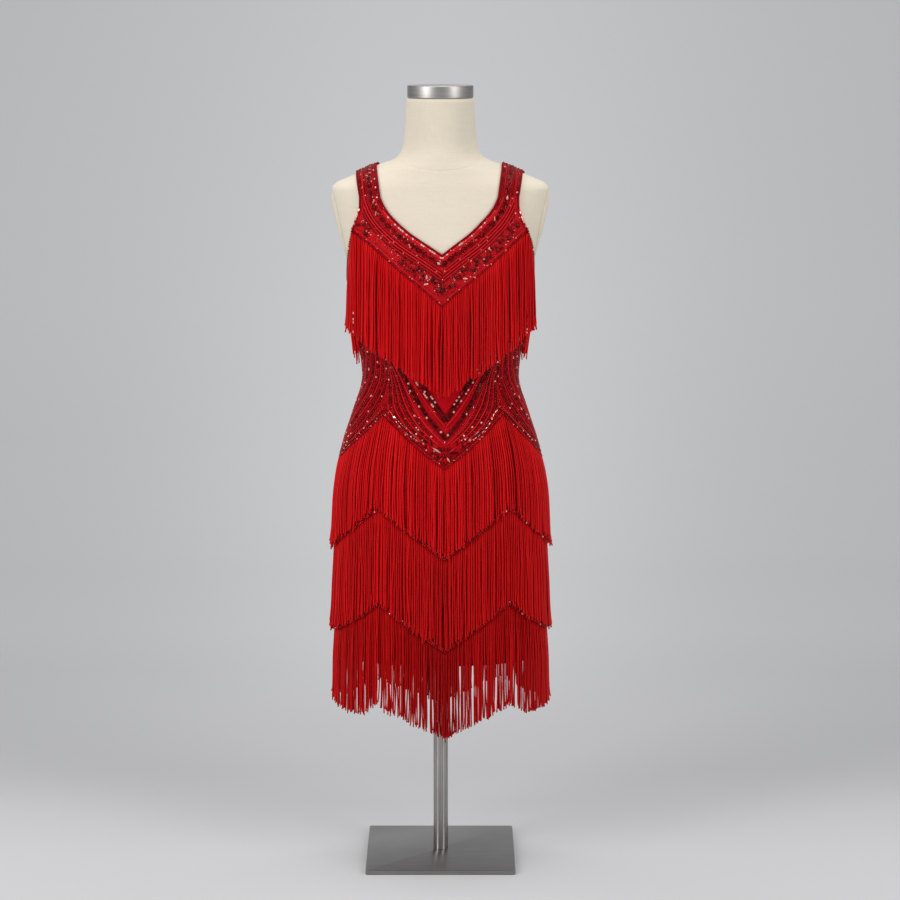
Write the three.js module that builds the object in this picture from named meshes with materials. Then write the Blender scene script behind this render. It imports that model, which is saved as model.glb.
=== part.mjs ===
// A sleeveless fringed flapper dress worn by a limbless dress form on a pole and a square foot.
// Millimetres, +Z up, the dress faces -Y, the origin is the middle of the foot's underside.
import * as THREE from "three";

// ---- driving sizes ----
const FOOT = { side: 256, thick: 8, corner: 4 };
const POLE = { radius: 12.6, top: 479.7 };
const CAP = { radius: 55.4, low: 1309.9, high: 1331, bevel: 1.6 };
const ARM_PLATE = { midZ: 1098, halfY: 41, halfZ: 59, gap: 0.6, thick: 2.6 };
const FORM = { low: 480, high: 1309.5 };
const REF = { a: 177, b: 114 }; // reference ellipse that turns a direction into the angle phi
const CLOTH = { gap: 2, gapShoulder: 1.4, thick: 1.4 }; // base cloth, off the form
const TRIM = { gap: 4.1, thick: 2.1, half: 3 }; // beaded braid that heads each fringe
const BINDING = { gap: 3.7, thick: 1.6, inset: 0.2, width: 4 };
const HEM_Z = 362;
const SEAM = 0.55; // drop left between sewn pieces
const FRINGE = { start: 4.8, thick: 2.4 };

// ---- general figure: one row for each level ----
const LEVELS = [
  { z: 1309.5, half: 56, front: 56, rear: 56, power: 2 },
  { z: 1285, half: 57.5, front: 57, rear: 57, power: 2 },
  { z: 1250, half: 60, front: 59, rear: 60, power: 2 },
  { z: 1232, half: 62.5, front: 61, rear: 63, power: 2 },
  { z: 1221, half: 66, front: 64, rear: 66, power: 2 },
  { z: 1213, half: 72, front: 67, rear: 69, power: 2 },
  { z: 1208, half: 79, front: 68.5, rear: 70.5, power: 2 },
  { z: 1200, half: 101, front: 71, rear: 73, power: 2 },
  { z: 1192, half: 121, front: 73, rear: 76, power: 2.05 },
  { z: 1183, half: 142, front: 75.5, rear: 79, power: 2.1 },
  { z: 1175, half: 162, front: 78, rear: 81, power: 2.2 },
  { z: 1168, half: 176, front: 80, rear: 83, power: 2.35 },
  { z: 1160, half: 182, front: 82, rear: 85, power: 2.5 },
  { z: 1128, half: 177.5, front: 91, rear: 93, power: 2.75 },
  { z: 1093, half: 170, front: 101, rear: 98, power: 2.8 },
  { z: 1060, half: 160.5, front: 111, rear: 100, power: 2.7 },
  { z: 1030, half: 155, front: 118, rear: 100, power: 2.5 },
  { z: 1005, half: 152, front: 121, rear: 98, power: 2.3 },
  { z: 985, half: 150, front: 121.5, rear: 96, power: 2.2 },
  { z: 960, half: 147, front: 118, rear: 94, power: 2.1 },
  { z: 930, half: 141, front: 110, rear: 90, power: 2.1 },
  { z: 900, half: 135, front: 101, rear: 87, power: 2.1 },
  { z: 870, half: 129.5, front: 95, rear: 85, power: 2.1 },
  { z: 842, half: 127.5, front: 92, rear: 84, power: 2.1 },
  { z: 820, half: 131, front: 93.5, rear: 86.5, power: 2.1 },
  { z: 798, half: 138.5, front: 97, rear: 91.5, power: 2.1 },
  { z: 762, half: 150.5, front: 103, rear: 100, power: 2.1 },
  { z: 737, half: 159, front: 107, rear: 107, power: 2.1 },
  { z: 703, half: 167.5, front: 110.5, rear: 113, power: 2.1 },
  { z: 670, half: 173, front: 112, rear: 116, power: 2.1 },
  { z: 628, half: 176, front: 112.5, rear: 116, power: 2.1 },
  { z: 560, half: 177, front: 112.5, rear: 116, power: 2.1 },
  { z: 480, half: 177, front: 112.5, rear: 116, power: 2.1 },
  { z: 360, half: 178, front: 113, rear: 116.5, power: 2.1 },
];

// ---- the cut: heights over the angle phi, 0 at the middle of the front, 90 at the side seam, same at the back ----
const ARMHOLE = [ // armhole edge of the body panels, from below the yoke's corner to the side seam
  { phi: 53, z: 1086 }, { phi: 57.5, z: 1066 }, { phi: 63, z: 1046 }, { phi: 70, z: 1028 }, { phi: 79, z: 1012 }, { phi: 89.9, z: 1005 },
];
const TIER_1 = [ // first fringe, front and back: how far under the yoke it starts, and its lower edge
  { phi: 0, under: 5.2, low: 816 }, { phi: 10, under: 5.2, low: 843 }, { phi: 20, under: 5.2, low: 864 }, { phi: 35, under: 5.4, low: 894 },
  { phi: 43, under: 5.6, low: 905 }, { phi: 50, under: 16, low: 920 }, { phi: 57, under: 15, low: 927 }, { phi: 64, under: 13, low: 928 },
];
const TIER_1_SIDE = [ // the same fringe under the arm
  { phi: 66, under: 12, low: 882 }, { phi: 76, under: 8, low: 866 }, { phi: 90, under: 6.5, low: 860 },
];
const LINE_2 = [
  { phi: 0, z: 700 }, { phi: 12, z: 727 }, { phi: 20, z: 746 }, { phi: 29, z: 767 }, { phi: 40, z: 788 },
  { phi: 51, z: 759 }, { phi: 63, z: 734 }, { phi: 76, z: 713 }, { phi: 90, z: 701 },
];
const LINE_3 = [
  { phi: 0, z: 546 }, { phi: 12, z: 573 }, { phi: 24, z: 601 }, { phi: 37, z: 630 }, { phi: 54, z: 593 }, { phi: 74, z: 562 }, { phi: 90, z: 551 },
];
const LINE_4 = [
  { phi: 0, z: 388 }, { phi: 12, z: 413 }, { phi: 24, z: 439 }, { phi: 37, z: 466 }, { phi: 48, z: 443 }, { phi: 62, z: 423 }, { phi: 75, z: 411 }, { phi: 90, z: 405 },
];
const FRINGE_END = [
  { phi: 0, z: 238 }, { phi: 11, z: 254 }, { phi: 20, z: 266 }, { phi: 28, z: 279 }, { phi: 37, z: 292 }, { phi: 47, z: 276 }, { phi: 57, z: 271 }, { phi: 72, z: 279 }, { phi: 90, z: 285 },
];
const TURN = [ // how far the dress is turned on the form, in degrees
  { z: 360, turn: 2.3 }, { z: 820, turn: 2.3 }, { z: 975, turn: 1.0 }, { z: 1057, turn: 0.95 }, { z: 1087, turn: 0 }, { z: 1110, turn: -0.6 }, { z: 1210, turn: -0.6 },
];
const YOKE = [ // cuts across the yoke from its middle to the shoulder: neck edge, then outer edge
  { neckX: 0, neckZ: 1057, outX: 0, outZ: 974 },
  { neckX: 12, neckZ: 1065.5, outX: 22, outZ: 994 },
  { neckX: 24, neckZ: 1073.7, outX: 45, outZ: 1013 },
  { neckX: 36, neckZ: 1082, outX: 70, outZ: 1033.5 },
  { neckX: 48, neckZ: 1090.5, outX: 95, outZ: 1055.5 },
  { neckX: 58, neckZ: 1099, outX: 120, outZ: 1078 },
  { neckX: 62, neckZ: 1102.5, outX: 133, outZ: 1088.5 },
  { neckX: 66, neckZ: 1106.5, outX: 143.5, outZ: 1097 },
  { neckX: 76, neckZ: 1116.5, outX: 140, outZ: 1107 },
  { neckX: 84, neckZ: 1126, outX: 136, outZ: 1119 },
  { neckX: 91, neckZ: 1137, outX: 132, outZ: 1134 },
  { neckX: 96.5, neckZ: 1149, outX: 132, outZ: 1148 },
];
const STRAP = { neckX: 104, outX: 139, steps: 5 };

// ---- tables to smooth functions ----
const column = (rows, x, y) => {
  const t = rows.map((r) => [r[x], r[y]]).sort((p, q) => p[0] - q[0]);
  return (v) => {
    if (v <= t[0][0]) return t[0][1];
    for (let i = 1; i < t.length; i++)
      if (v <= t[i][0]) return t[i - 1][1] + ((t[i][1] - t[i - 1][1]) * (v - t[i - 1][0])) / (t[i][0] - t[i - 1][0]);
    return t[t.length - 1][1];
  };
};
const smooth = (rows, x, y) => { // cubic that never overshoots its table
  const t = rows.map((r) => [r[x], r[y]]).sort((p, q) => p[0] - q[0]);
  const n = t.length, d = [], m = new Array(n);
  for (let i = 0; i < n - 1; i++) d.push((t[i + 1][1] - t[i][1]) / (t[i + 1][0] - t[i][0]));
  m[0] = d[0]; m[n - 1] = d[n - 2];
  for (let i = 1; i < n - 1; i++) {
    if (d[i - 1] * d[i] <= 0) m[i] = 0;
    else {
      const h0 = t[i][0] - t[i - 1][0], h1 = t[i + 1][0] - t[i][0], w1 = 2 * h1 + h0, w2 = h1 + 2 * h0;
      m[i] = (w1 + w2) / (w1 / d[i - 1] + w2 / d[i]);
    }
  }
  return (v) => {
    v = Math.min(Math.max(v, t[0][0]), t[n - 1][0]);
    let i = 0;
    while (i < n - 2 && v > t[i + 1][0]) i++;
    const h = t[i + 1][0] - t[i][0], s = (v - t[i][0]) / h, s2 = s * s, s3 = s2 * s;
    return (2 * s3 - 3 * s2 + 1) * t[i][1] + (s3 - 2 * s2 + s) * h * m[i] + (3 * s2 - 2 * s3) * t[i + 1][1] + (s3 - s2) * h * m[i + 1];
  };
};
const half = smooth(LEVELS, "z", "half"), front = smooth(LEVELS, "z", "front"), rear = smooth(LEVELS, "z", "rear"), power = smooth(LEVELS, "z", "power");
const turn = column(TURN, "z", "turn");
const RAD = Math.PI / 180;
const fold = (phi) => { const p = Math.abs(((phi % 360) + 540) % 360 - 180); return p > 90 ? 180 - p : p; }; // any angle to 0..90
const over = (rows, key) => { const f = column(rows, "phi", key); return (phi) => f(fold(phi)); };

// ---- the figure's surface ----
const depth = (y, z) => (y < 0 ? front(z) : rear(z));
const level = (x, y, z) => (Math.abs(x) / half(z)) ** power(z) + (Math.abs(y) / depth(y, z)) ** power(z) - 1;
const heading = (phi) => { // unit direction of an angle phi, seen from above
  const x = REF.a * Math.sin(phi * RAD), y = -REF.b * Math.cos(phi * RAD), l = Math.hypot(x, y);
  return [x / l, y / l];
};
const reach = (phi, z) => { // distance from the axis to the surface in that direction
  const [x, y] = heading(phi), n = power(z);
  return ((Math.abs(x) / half(z)) ** n + (Math.abs(y) / depth(y, z)) ** n) ** (-1 / n);
};
const normalAt = (x, y, z) => {
  const e = 0.02, g = [level(x + e, y, z) - level(x - e, y, z), level(x, y + e, z) - level(x, y - e, z), level(x, y, z + e) - level(x, y, z - e)];
  const l = Math.hypot(...g);
  return g.map((v) => v / l);
};
const onForm = (phi, z) => { // point and normal at an angle and a height
  const [x, y] = heading(phi), r = reach(phi, z);
  return { p: [x * r, y * r, z], n: normalAt(x * r, y * r, z) };
};
const worn = (phi, z) => onForm(phi + turn(z), z); // the same, on the turned dress
const ridge = (x) => { // height of the shoulder line at a distance from the middle
  let lo = 1160, hi = 1212;
  for (let i = 0; i < 50; i++) { const m = (lo + hi) / 2; if (half(m) > Math.abs(x)) lo = m; else hi = m; }
  return (lo + hi) / 2;
};
const onFace = (x, z, side) => { // side -1 is the front, 1 the back
  const n = power(z), b = side < 0 ? front(z) : rear(z), k = Math.max(0, 1 - (Math.abs(x) / half(z)) ** n);
  const y = side * Math.max(0.25, b * k ** (1 / n));
  return { p: [x, y, z], n: normalAt(x, y, z) };
};
const shifted = (x, z, side) => onFace(x + (side < 0 ? 1 : -1) * 3.1 * turn(z), z, side);

// ---- solids from surfaces ----
const toGeometry = (points, faces) => {
  const g = new THREE.BufferGeometry();
  g.setAttribute("position", new THREE.Float32BufferAttribute(points.flat(), 3));
  g.setIndex(faces.flat());
  return g;
};
const volume = (points, faces) => {
  let v = 0;
  for (const [a, b, c] of faces) {
    const A = points[a], B = points[b], C = points[c];
    v += A[0] * (B[1] * C[2] - B[2] * C[1]) - A[1] * (B[0] * C[2] - B[2] * C[0]) + A[2] * (B[0] * C[1] - B[1] * C[0]);
  }
  return v / 6;
};
const facingOut = (points, faces) => toGeometry(points, volume(points, faces) < 0 ? faces.map(([a, b, c]) => [a, c, b]) : faces);
// A wall: quads over a sheet of {inner, outer} pairs, with a rim round every open edge.
const wall = (pairs, quads) => {
  const n = pairs.length, points = [...pairs.map((s) => s.inner), ...pairs.map((s) => s.outer)], faces = [], edges = new Map();
  for (const q of quads) {
    for (let i = 2; i < q.length; i++) faces.push([q[0] + n, q[i - 1] + n, q[i] + n], [q[i], q[i - 1], q[0]]);
    for (let i = 0; i < q.length; i++) {
      const u = q[i], v = q[(i + 1) % q.length], key = Math.min(u, v) + "_" + Math.max(u, v);
      edges.set(key, edges.has(key) ? null : [u, v]);
    }
  }
  for (const e of edges.values()) if (e) faces.push([e[0], e[1], e[1] + n], [e[0], e[1] + n, e[0] + n]);
  return facingOut(points, faces);
};
const along = (s, d) => s.p.map((v, i) => v + s.n[i] * d);
const sheetOf = (s, gap, thick) => ({ inner: along(s, gap), outer: along(s, gap + thick) });
const clothOf = (s) => { // base cloth lies closer on the shoulders
  const t = Math.min(1, Math.max(0, (s.p[2] - 1105) / 55));
  return sheetOf(s, CLOTH.gap + (CLOTH.gapShoulder - CLOTH.gap) * t, CLOTH.thick);
};
const gridQuads = (rows, cols, closed = false) => {
  const q = [];
  for (let j = 0; j + 1 < rows; j++)
    for (let i = 0; i + 1 < cols + (closed ? 1 : 0); i++) {
      const i1 = (i + 1) % cols;
      q.push([j * cols + i, j * cols + i1, (j + 1) * cols + i1, (j + 1) * cols + i]);
    }
  return q;
};
const steps = (from, to, count) => Array.from({ length: count + 1 }, (_, i) => from + ((to - from) * i) / count);

// Yoke with its two straps, up to the shoulder seam.
const yokeRows = (() => {
  const last = YOKE[YOKE.length - 1], rows = YOKE.map((r) => ({ ...r }));
  for (let k = 1; k <= STRAP.steps; k++) {
    const t = k / STRAP.steps, s = Math.sin((t * Math.PI) / 2);
    const neckX = last.neckX + (STRAP.neckX - last.neckX) * s, outX = last.outX + (STRAP.outX - last.outX) * s;
    rows.push({ neckX, outX, lift: s });
  }
  return rows;
})();
const yokePoint = (r, u, side) => {
  const last = YOKE[YOKE.length - 1], x = r.neckX + (r.outX - r.neckX) * u;
  if (r.lift === undefined) return shifted(x, r.neckZ + (r.outZ - r.neckZ) * u, side);
  const base = last.neckZ + (last.outZ - last.neckZ) * u, move = (side < 0 ? 1 : -1) * 3.1 * turn(1150);
  return onFace(x + move, base + (ridge(x + move) - base) * r.lift, side);
};
const yokePanel = (side) => {
  const cols = 3, pairs = [], quads = [];
  for (const hand of [1, -1])
    yokeRows.forEach((r, j) => {
      for (let i = 0; i <= cols; i++) {
        const point = hand > 0 ? yokePoint(r, i / cols, side) : yokePoint({ ...r, neckX: -r.neckX, outX: -r.outX }, i / cols, side);
        pairs.push(clothOf(point));
      }
    });
  const w = cols + 1, block = yokeRows.length * w;
  const at = (hand, j, i) => (hand && j ? block : 0) + j * w + i; // both halves share the middle cut
  for (const hand of [0, 1])
    for (let j = 0; j + 1 < yokeRows.length; j++)
      for (let i = 0; i < cols; i++) {
        const q = [at(hand, j, i), at(hand, j, i + 1), at(hand, j + 1, i + 1), at(hand, j + 1, i)];
        quads.push(hand ? q.reverse() : q);
      }
  const used = [...new Set(quads.flat())], index = new Map(used.map((v, k) => [v, k]));
  return wall(used.map((v) => pairs[v]), quads.map((q) => q.map((v) => index.get(v))));
};
// The edge where the body panels start, as angles and heights: the yoke's lower edge, then the armhole.
const CORNER = YOKE.findIndex((r) => r.outX === Math.max(...YOKE.map((q) => q.outX)));
const edgeLine = (side, hand) => {
  const middle = side < 0 ? 0 : 180, rows = yokeRows.slice(0, CORNER + 1).map((r) => {
    const [x, y, z] = yokePoint({ ...r, neckX: hand * r.neckX, outX: hand * r.outX }, 1, side).p, phi = Math.atan2(x / REF.a, -y / REF.b) / RAD;
    return { phi: ((phi - middle - turn(z) + 540) % 360) - 180, z };
  });
  return [...rows, ...ARMHOLE.map((r) => ({ phi: -side * hand * r.phi, z: r.z }))];
};
const LINE_1 = {};
for (const side of [-1, 1]) {
  const right = edgeLine(side, 1), left = edgeLine(side, -1);
  LINE_1[side] = { cut: [...left.reverse(), ...right.slice(1)], mean: right.map((r, k) => ({ phi: k ? Math.abs(r.phi - left[left.length - 1 - k].phi) / 2 : 0, z: r.z })) };
}
// Base cloth below the yoke.
const bodyPanel = (side) => {
  const cols = LINE_1[side].cut, middle = side < 0 ? 0 : 180;
  const fixed = [925, 890, 862, 832, 804, 775, 745, 710, 668, 620, HEM_Z], lead = 4, pairs = [], rows = lead + fixed.length;
  for (let j = 0; j < rows; j++)
    for (const c of cols) {
      const start = c.z - SEAM, z = j < lead ? start + ((fixed[0] - start) * j) / lead : fixed[j - lead];
      pairs.push(clothOf(worn(middle + c.phi, z)));
    }
  return wall(pairs, gridQuads(rows, cols.length));
};
// Fringe: hangs straight down from its braid and is pushed out by what lies under it.
const fringe = (middle, from, to, cols, rows, topOf, lowOf, offsetOf, cling = 0) => {
  const angles = steps(from, to, cols), pairs = [];
  for (let j = 0; j <= rows; j++)
    for (const c of angles) {
      const top = topOf(c), low = lowOf(c), v = j / rows, z = top + (low - top) * v, phi = middle + c + turn(top);
      let r = reach(phi, z);
      for (let h = z; h <= top; h += 4) r = Math.max(r, reach(phi, h) * (1 - cling) + reach(phi, z) * cling);
      r = Math.max(r, reach(phi, z));
      const [x, y] = heading(phi), gap = offsetOf(v), flat = normalAt(x * r, y * r, top), l = Math.hypot(flat[0], flat[1]);
      const n = [flat[0] / l, flat[1] / l, 0], s = { p: [x * r, y * r, z], n };
      pairs.push({ inner: along(s, gap), outer: along(s, gap + FRINGE.thick) });
    }
  return wall(pairs, gridQuads(rows + 1, angles.length));
};
// Braid: a band laid along a line of the cut.
const braid = (middle, from, to, cols, lineOf) => {
  const angles = steps(from, to, cols), pairs = [];
  for (const lift of [TRIM.half, -TRIM.half])
    for (const c of angles) pairs.push(sheetOf(worn(middle + c, lineOf(c) + lift), TRIM.gap, TRIM.thick));
  return wall(pairs, gridQuads(2, angles.length));
};
// Binding: a band that follows a closed edge, on the cloth beside it.
const binding = (path, inward) => {
  const n = path.length, pairs = [];
  for (let k = 0; k < n; k++) {
    const a = path[(k + n - 1) % n].p, b = path[(k + 1) % n].p, t = b.map((v, i) => v - a[i]), m = path[k].n;
    const s = [t[1] * m[2] - t[2] * m[1], t[2] * m[0] - t[0] * m[2], t[0] * m[1] - t[1] * m[0]], l = Math.hypot(...s);
    const side = s.map((v) => (inward * v) / l);
    for (const w of [BINDING.inset, BINDING.inset + BINDING.width]) {
      const shiftedPoint = { p: path[k].p.map((v, i) => v + side[i] * w), n: m };
      pairs.push(sheetOf(shiftedPoint, BINDING.gap, BINDING.thick));
    }
  }
  const quads = [];
  for (let k = 0; k < n; k++) { const q = (k + 1) % n; quads.push([2 * k, 2 * k + 1, 2 * q + 1, 2 * q]); }
  return wall(pairs, quads);
};
const neckPath = () => {
  const path = [], run = (side, hand) => yokeRows.map((r) => yokePoint(hand > 0 ? r : { ...r, neckX: -r.neckX, outX: -r.outX }, 0, side));
  const rf = run(-1, 1), lf = run(-1, -1), rb = run(1, 1), lb = run(1, -1);
  path.push(...rf, ...rb.slice(0, -1).reverse(), ...lb.slice(1), ...lf.slice(0, -1).reverse().slice(0, -1));
  return path;
};
const armPath = (hand) => { // up the front of the strap, down its back, then round under the arm
  const edge = (side) => yokeRows.slice(CORNER).map((r) => yokePoint(hand > 0 ? r : { ...r, neckX: -r.neckX, outX: -r.outX }, 1, side));
  const low = [...ARMHOLE.map((r) => worn(hand * r.phi, r.z)), ...ARMHOLE.slice(0, -1).map((r) => worn(180 - hand * r.phi, r.z)).reverse()];
  return [...edge(-1).slice(0, -1), ...edge(1).reverse(), ...low.reverse()];
};

// ---- the form and its stand ----
const formTorso = () => {
  const zs = [...new Set([FORM.low, 520, 560, 600, 630, 668, 703, 735, 765, 795, 820, 842, 868, 892, 915, 938, 960, 985, 1005, 1030, 1060, 1093, 1128, 1150, 1160, 1168, 1175, 1183, 1192, 1200, 1208, 1214, 1221, 1232, 1250, 1285, FORM.high])];
  const cols = 40, points = [], faces = [];
  for (const z of zs) for (let i = 0; i < cols; i++) points.push(onForm((i * 360) / cols, z).p);
  for (let j = 0; j + 1 < zs.length; j++)
    for (let i = 0; i < cols; i++) {
      const a = j * cols + i, b = j * cols + ((i + 1) % cols);
      faces.push([a, b, b + cols], [a, b + cols, a + cols]);
    }
  const low = points.push([0, 0, FORM.low]) - 1, high = points.push([0, 0, FORM.high]) - 1, t = (zs.length - 1) * cols;
  for (let i = 0; i < cols; i++) faces.push([low, (i + 1) % cols, i], [high, t + i, t + ((i + 1) % cols)]);
  return facingOut(points, faces);
};
const armPlate = (hand) => {
  const rings = 3, spokes = 20, pairs = [], quads = [];
  const at = (k, i) => {
    const y = ARM_PLATE.halfY * (k / rings) * Math.cos((i / spokes) * 2 * Math.PI), z = ARM_PLATE.midZ + ARM_PLATE.halfZ * (k / rings) * Math.sin((i / spokes) * 2 * Math.PI);
    const n = power(z), x = hand * half(z) * (1 - (Math.abs(y) / depth(y, z)) ** n) ** (1 / n);
    return { p: [x, y, z], n: normalAt(x, y, z) };
  };
  for (let k = 1; k <= rings; k++) for (let i = 0; i < spokes; i++) pairs.push(sheetOf(at(k, i), ARM_PLATE.gap, ARM_PLATE.thick));
  const middle = pairs.push(sheetOf(at(0, 0), ARM_PLATE.gap, ARM_PLATE.thick)) - 1;
  for (let k = 0; k + 1 < rings; k++)
    for (let i = 0; i < spokes; i++) { const a = k * spokes + i, b = k * spokes + ((i + 1) % spokes); quads.push([a, b, b + spokes, a + spokes]); }
  for (let i = 0; i < spokes; i++) quads.push([middle, (i + 1) % spokes, i]);
  return wall(pairs, quads);
};
const lathe = (profile, segments) => {
  const g = new THREE.LatheGeometry(profile.map(([r, z]) => new THREE.Vector2(r, z)), segments);
  g.rotateX(Math.PI / 2);
  return g;
};
const footPlate = () => {
  const h = FOOT.side / 2, c = FOOT.corner, s = new THREE.Shape();
  s.moveTo(-h + c, -h); s.lineTo(h - c, -h); s.absarc(h - c, -h + c, c, -Math.PI / 2, 0); s.lineTo(h, h - c); s.absarc(h - c, h - c, c, 0, Math.PI / 2);
  s.lineTo(-h + c, h); s.absarc(-h + c, h - c, c, Math.PI / 2, Math.PI); s.lineTo(-h, -h + c); s.absarc(-h + c, -h + c, c, Math.PI, 1.5 * Math.PI);
  return new THREE.ExtrudeGeometry(s, { depth: FOOT.thick, bevelEnabled: false, curveSegments: 4 });
};

// ---- materials ----
const cream = new THREE.MeshStandardMaterial({ color: 0xe4dcc6, roughness: 0.9, metalness: 0 });
const steel = new THREE.MeshStandardMaterial({ color: 0x8d8a86, roughness: 0.35, metalness: 1 });
const darkSteel = new THREE.MeshStandardMaterial({ color: 0x6f6d6c, roughness: 0.45, metalness: 1 });
const crimson = new THREE.MeshStandardMaterial({ color: 0xa30d18, roughness: 0.75, metalness: 0 });
const cords = new THREE.MeshStandardMaterial({ color: 0xc40f18, roughness: 0.5, metalness: 0 });
const garnet = new THREE.MeshStandardMaterial({ color: 0x7c0612, roughness: 0.25, metalness: 0.1 });

// ---- assembly ----
const dress = new THREE.Group(), stand = new THREE.Group(), part = new THREE.Group();
part.add(dress, stand);
const add = (group, name, geometry, material) => { const m = new THREE.Mesh(geometry, material); m.name = name; group.add(m); return m; };

add(stand, "foot_plate", footPlate(), darkSteel);
add(stand, "pole", lathe([[0, 0], [POLE.radius, 0], [POLE.radius, POLE.top - FOOT.thick - 0.3], [0, POLE.top - FOOT.thick - 0.3]], 32), steel).position.z = FOOT.thick + 0.3;
add(stand, "form_torso", formTorso(), cream);
add(stand, "arm_plate_l", armPlate(-1), cream);
add(stand, "arm_plate_r", armPlate(1), cream);
add(stand, "neck_cap", lathe([[0, CAP.low], [CAP.radius - CAP.bevel, CAP.low], [CAP.radius, CAP.low + CAP.bevel], [CAP.radius, CAP.high - CAP.bevel], [CAP.radius - CAP.bevel, CAP.high], [0, CAP.high]], 48), steel);

add(dress, "yoke_front", yokePanel(-1), crimson);
add(dress, "yoke_back", yokePanel(1), crimson);
add(dress, "body_front", bodyPanel(-1), crimson);
add(dress, "body_back", bodyPanel(1), crimson);

const offset1 = (v) => FRINGE.start + 2.0 * Math.min(1, v * 2.5), offsetLow = (v) => FRINGE.start + 3.0 * Math.min(1, v * 1.6);
const under1 = over(TIER_1, "under"), low1 = over(TIER_1, "low"), underSide = over(TIER_1_SIDE, "under"), lowSide = over(TIER_1_SIDE, "low");
const line2 = over(LINE_2, "z"), line3 = over(LINE_3, "z"), line4 = over(LINE_4, "z"), end4 = over(FRINGE_END, "z");
for (const [name, middle, side] of [["front", 0, -1], ["back", 180, 1]]) {
  const line1 = over(LINE_1[side].mean, "z"), half1 = LINE_1[side].mean[CORNER].phi - 1.8;
  add(dress, "braid_1_" + name, braid(middle, -half1, half1, 14, line1), garnet);
  add(dress, "fringe_1_" + name, fringe(middle, -64, 64, 20, 4, (c) => line1(c) - under1(c), low1, offset1), cords);
  add(dress, "braid_2_" + name, braid(middle, -89.9, 89.9, 24, line2), garnet);
  add(dress, "fringe_2_" + name, fringe(middle, -89.9, 89.9, 20, 4, (c) => line2(c) - 5.2, (c) => line3(c) + 1, offsetLow), cords);
  add(dress, "braid_3_" + name, braid(middle, -89.9, 89.9, 24, line3), garnet);
  add(dress, "fringe_3_" + name, fringe(middle, -89.9, 89.9, 20, 3, (c) => line3(c) - 5.2, (c) => line4(c) + 1, offsetLow), cords);
  add(dress, "braid_4_" + name, braid(middle, -89.9, 89.9, 24, line4), garnet);
  add(dress, "fringe_4_" + name, fringe(middle, -89.9, 89.9, 20, 3, (c) => line4(c) - 5.2, end4, offsetLow), cords);
}
const lineSide = over(ARMHOLE, "z");
for (const [name, middle] of [["l", -90], ["r", 90]])
  add(dress, "fringe_1_side_" + name, fringe(middle, -24, 24, 6, 4, (c) => lineSide(90 + c) - underSide(90 + c), (c) => lowSide(90 + c), (v) => FRINGE.start + 0.4 * v, 0.5), cords);
add(dress, "neck_binding", binding(neckPath(), -1), garnet);
add(dress, "armhole_binding_l", binding(armPath(-1), -1), garnet);
add(dress, "armhole_binding_r", binding(armPath(1), 1), garnet);

export default part;
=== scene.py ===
import math

import bpy
import numpy as np
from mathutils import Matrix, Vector


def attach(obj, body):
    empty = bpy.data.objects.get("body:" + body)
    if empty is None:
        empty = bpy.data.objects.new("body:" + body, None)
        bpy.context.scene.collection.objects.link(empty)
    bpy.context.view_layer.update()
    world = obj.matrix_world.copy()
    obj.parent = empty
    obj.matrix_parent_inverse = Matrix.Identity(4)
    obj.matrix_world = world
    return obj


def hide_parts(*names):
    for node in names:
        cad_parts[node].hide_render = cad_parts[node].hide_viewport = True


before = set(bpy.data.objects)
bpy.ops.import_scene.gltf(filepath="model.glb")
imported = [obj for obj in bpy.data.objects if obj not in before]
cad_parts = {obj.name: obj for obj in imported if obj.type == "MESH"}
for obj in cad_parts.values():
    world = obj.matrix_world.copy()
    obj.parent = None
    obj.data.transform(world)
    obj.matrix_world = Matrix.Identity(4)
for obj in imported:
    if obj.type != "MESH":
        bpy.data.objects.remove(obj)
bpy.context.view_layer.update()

MM = 0.001
RNG = np.random.default_rng(1926)
RAD = math.pi / 180

# ---------------------------------------------------------------- the figure and the cut, as in the part (mm)
LEVELS = np.array([
    # z, half width, front, rear, power
    (1309.5, 56, 56, 56, 2), (1285, 57.5, 57, 57, 2), (1250, 60, 59, 60, 2), (1232, 62.5, 61, 63, 2), (1221, 66, 64, 66, 2),
    (1213, 72, 67, 69, 2), (1208, 79, 68.5, 70.5, 2), (1200, 101, 71, 73, 2), (1192, 121, 73, 76, 2.05), (1183, 142, 75.5, 79, 2.1),
    (1175, 162, 78, 81, 2.2), (1168, 176, 80, 83, 2.35), (1160, 182, 82, 85, 2.5), (1128, 177.5, 91, 93, 2.75), (1093, 170, 101, 98, 2.8),
    (1060, 160.5, 111, 100, 2.7), (1030, 155, 118, 100, 2.5), (1005, 152, 121, 98, 2.3), (985, 150, 121.5, 96, 2.2), (960, 147, 118, 94, 2.1),
    (930, 141, 110, 90, 2.1), (900, 135, 101, 87, 2.1), (870, 129.5, 95, 85, 2.1), (842, 127.5, 92, 84, 2.1), (820, 131, 93.5, 86.5, 2.1),
    (798, 138.5, 97, 91.5, 2.1), (762, 150.5, 103, 100, 2.1), (737, 159, 107, 107, 2.1), (703, 167.5, 110.5, 113, 2.1), (670, 173, 112, 116, 2.1),
    (628, 176, 112.5, 116, 2.1), (560, 177, 112.5, 116, 2.1), (480, 177, 112.5, 116, 2.1), (360, 178, 113, 116.5, 2.1)])
REF_A, REF_B = 177.0, 114.0
HEM_Z = 362.0
TURN = np.array([(360, 2.3), (820, 2.3), (975, 1.0), (1057, 0.95), (1087, 0), (1110, -0.6), (1210, -0.6)])
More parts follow.
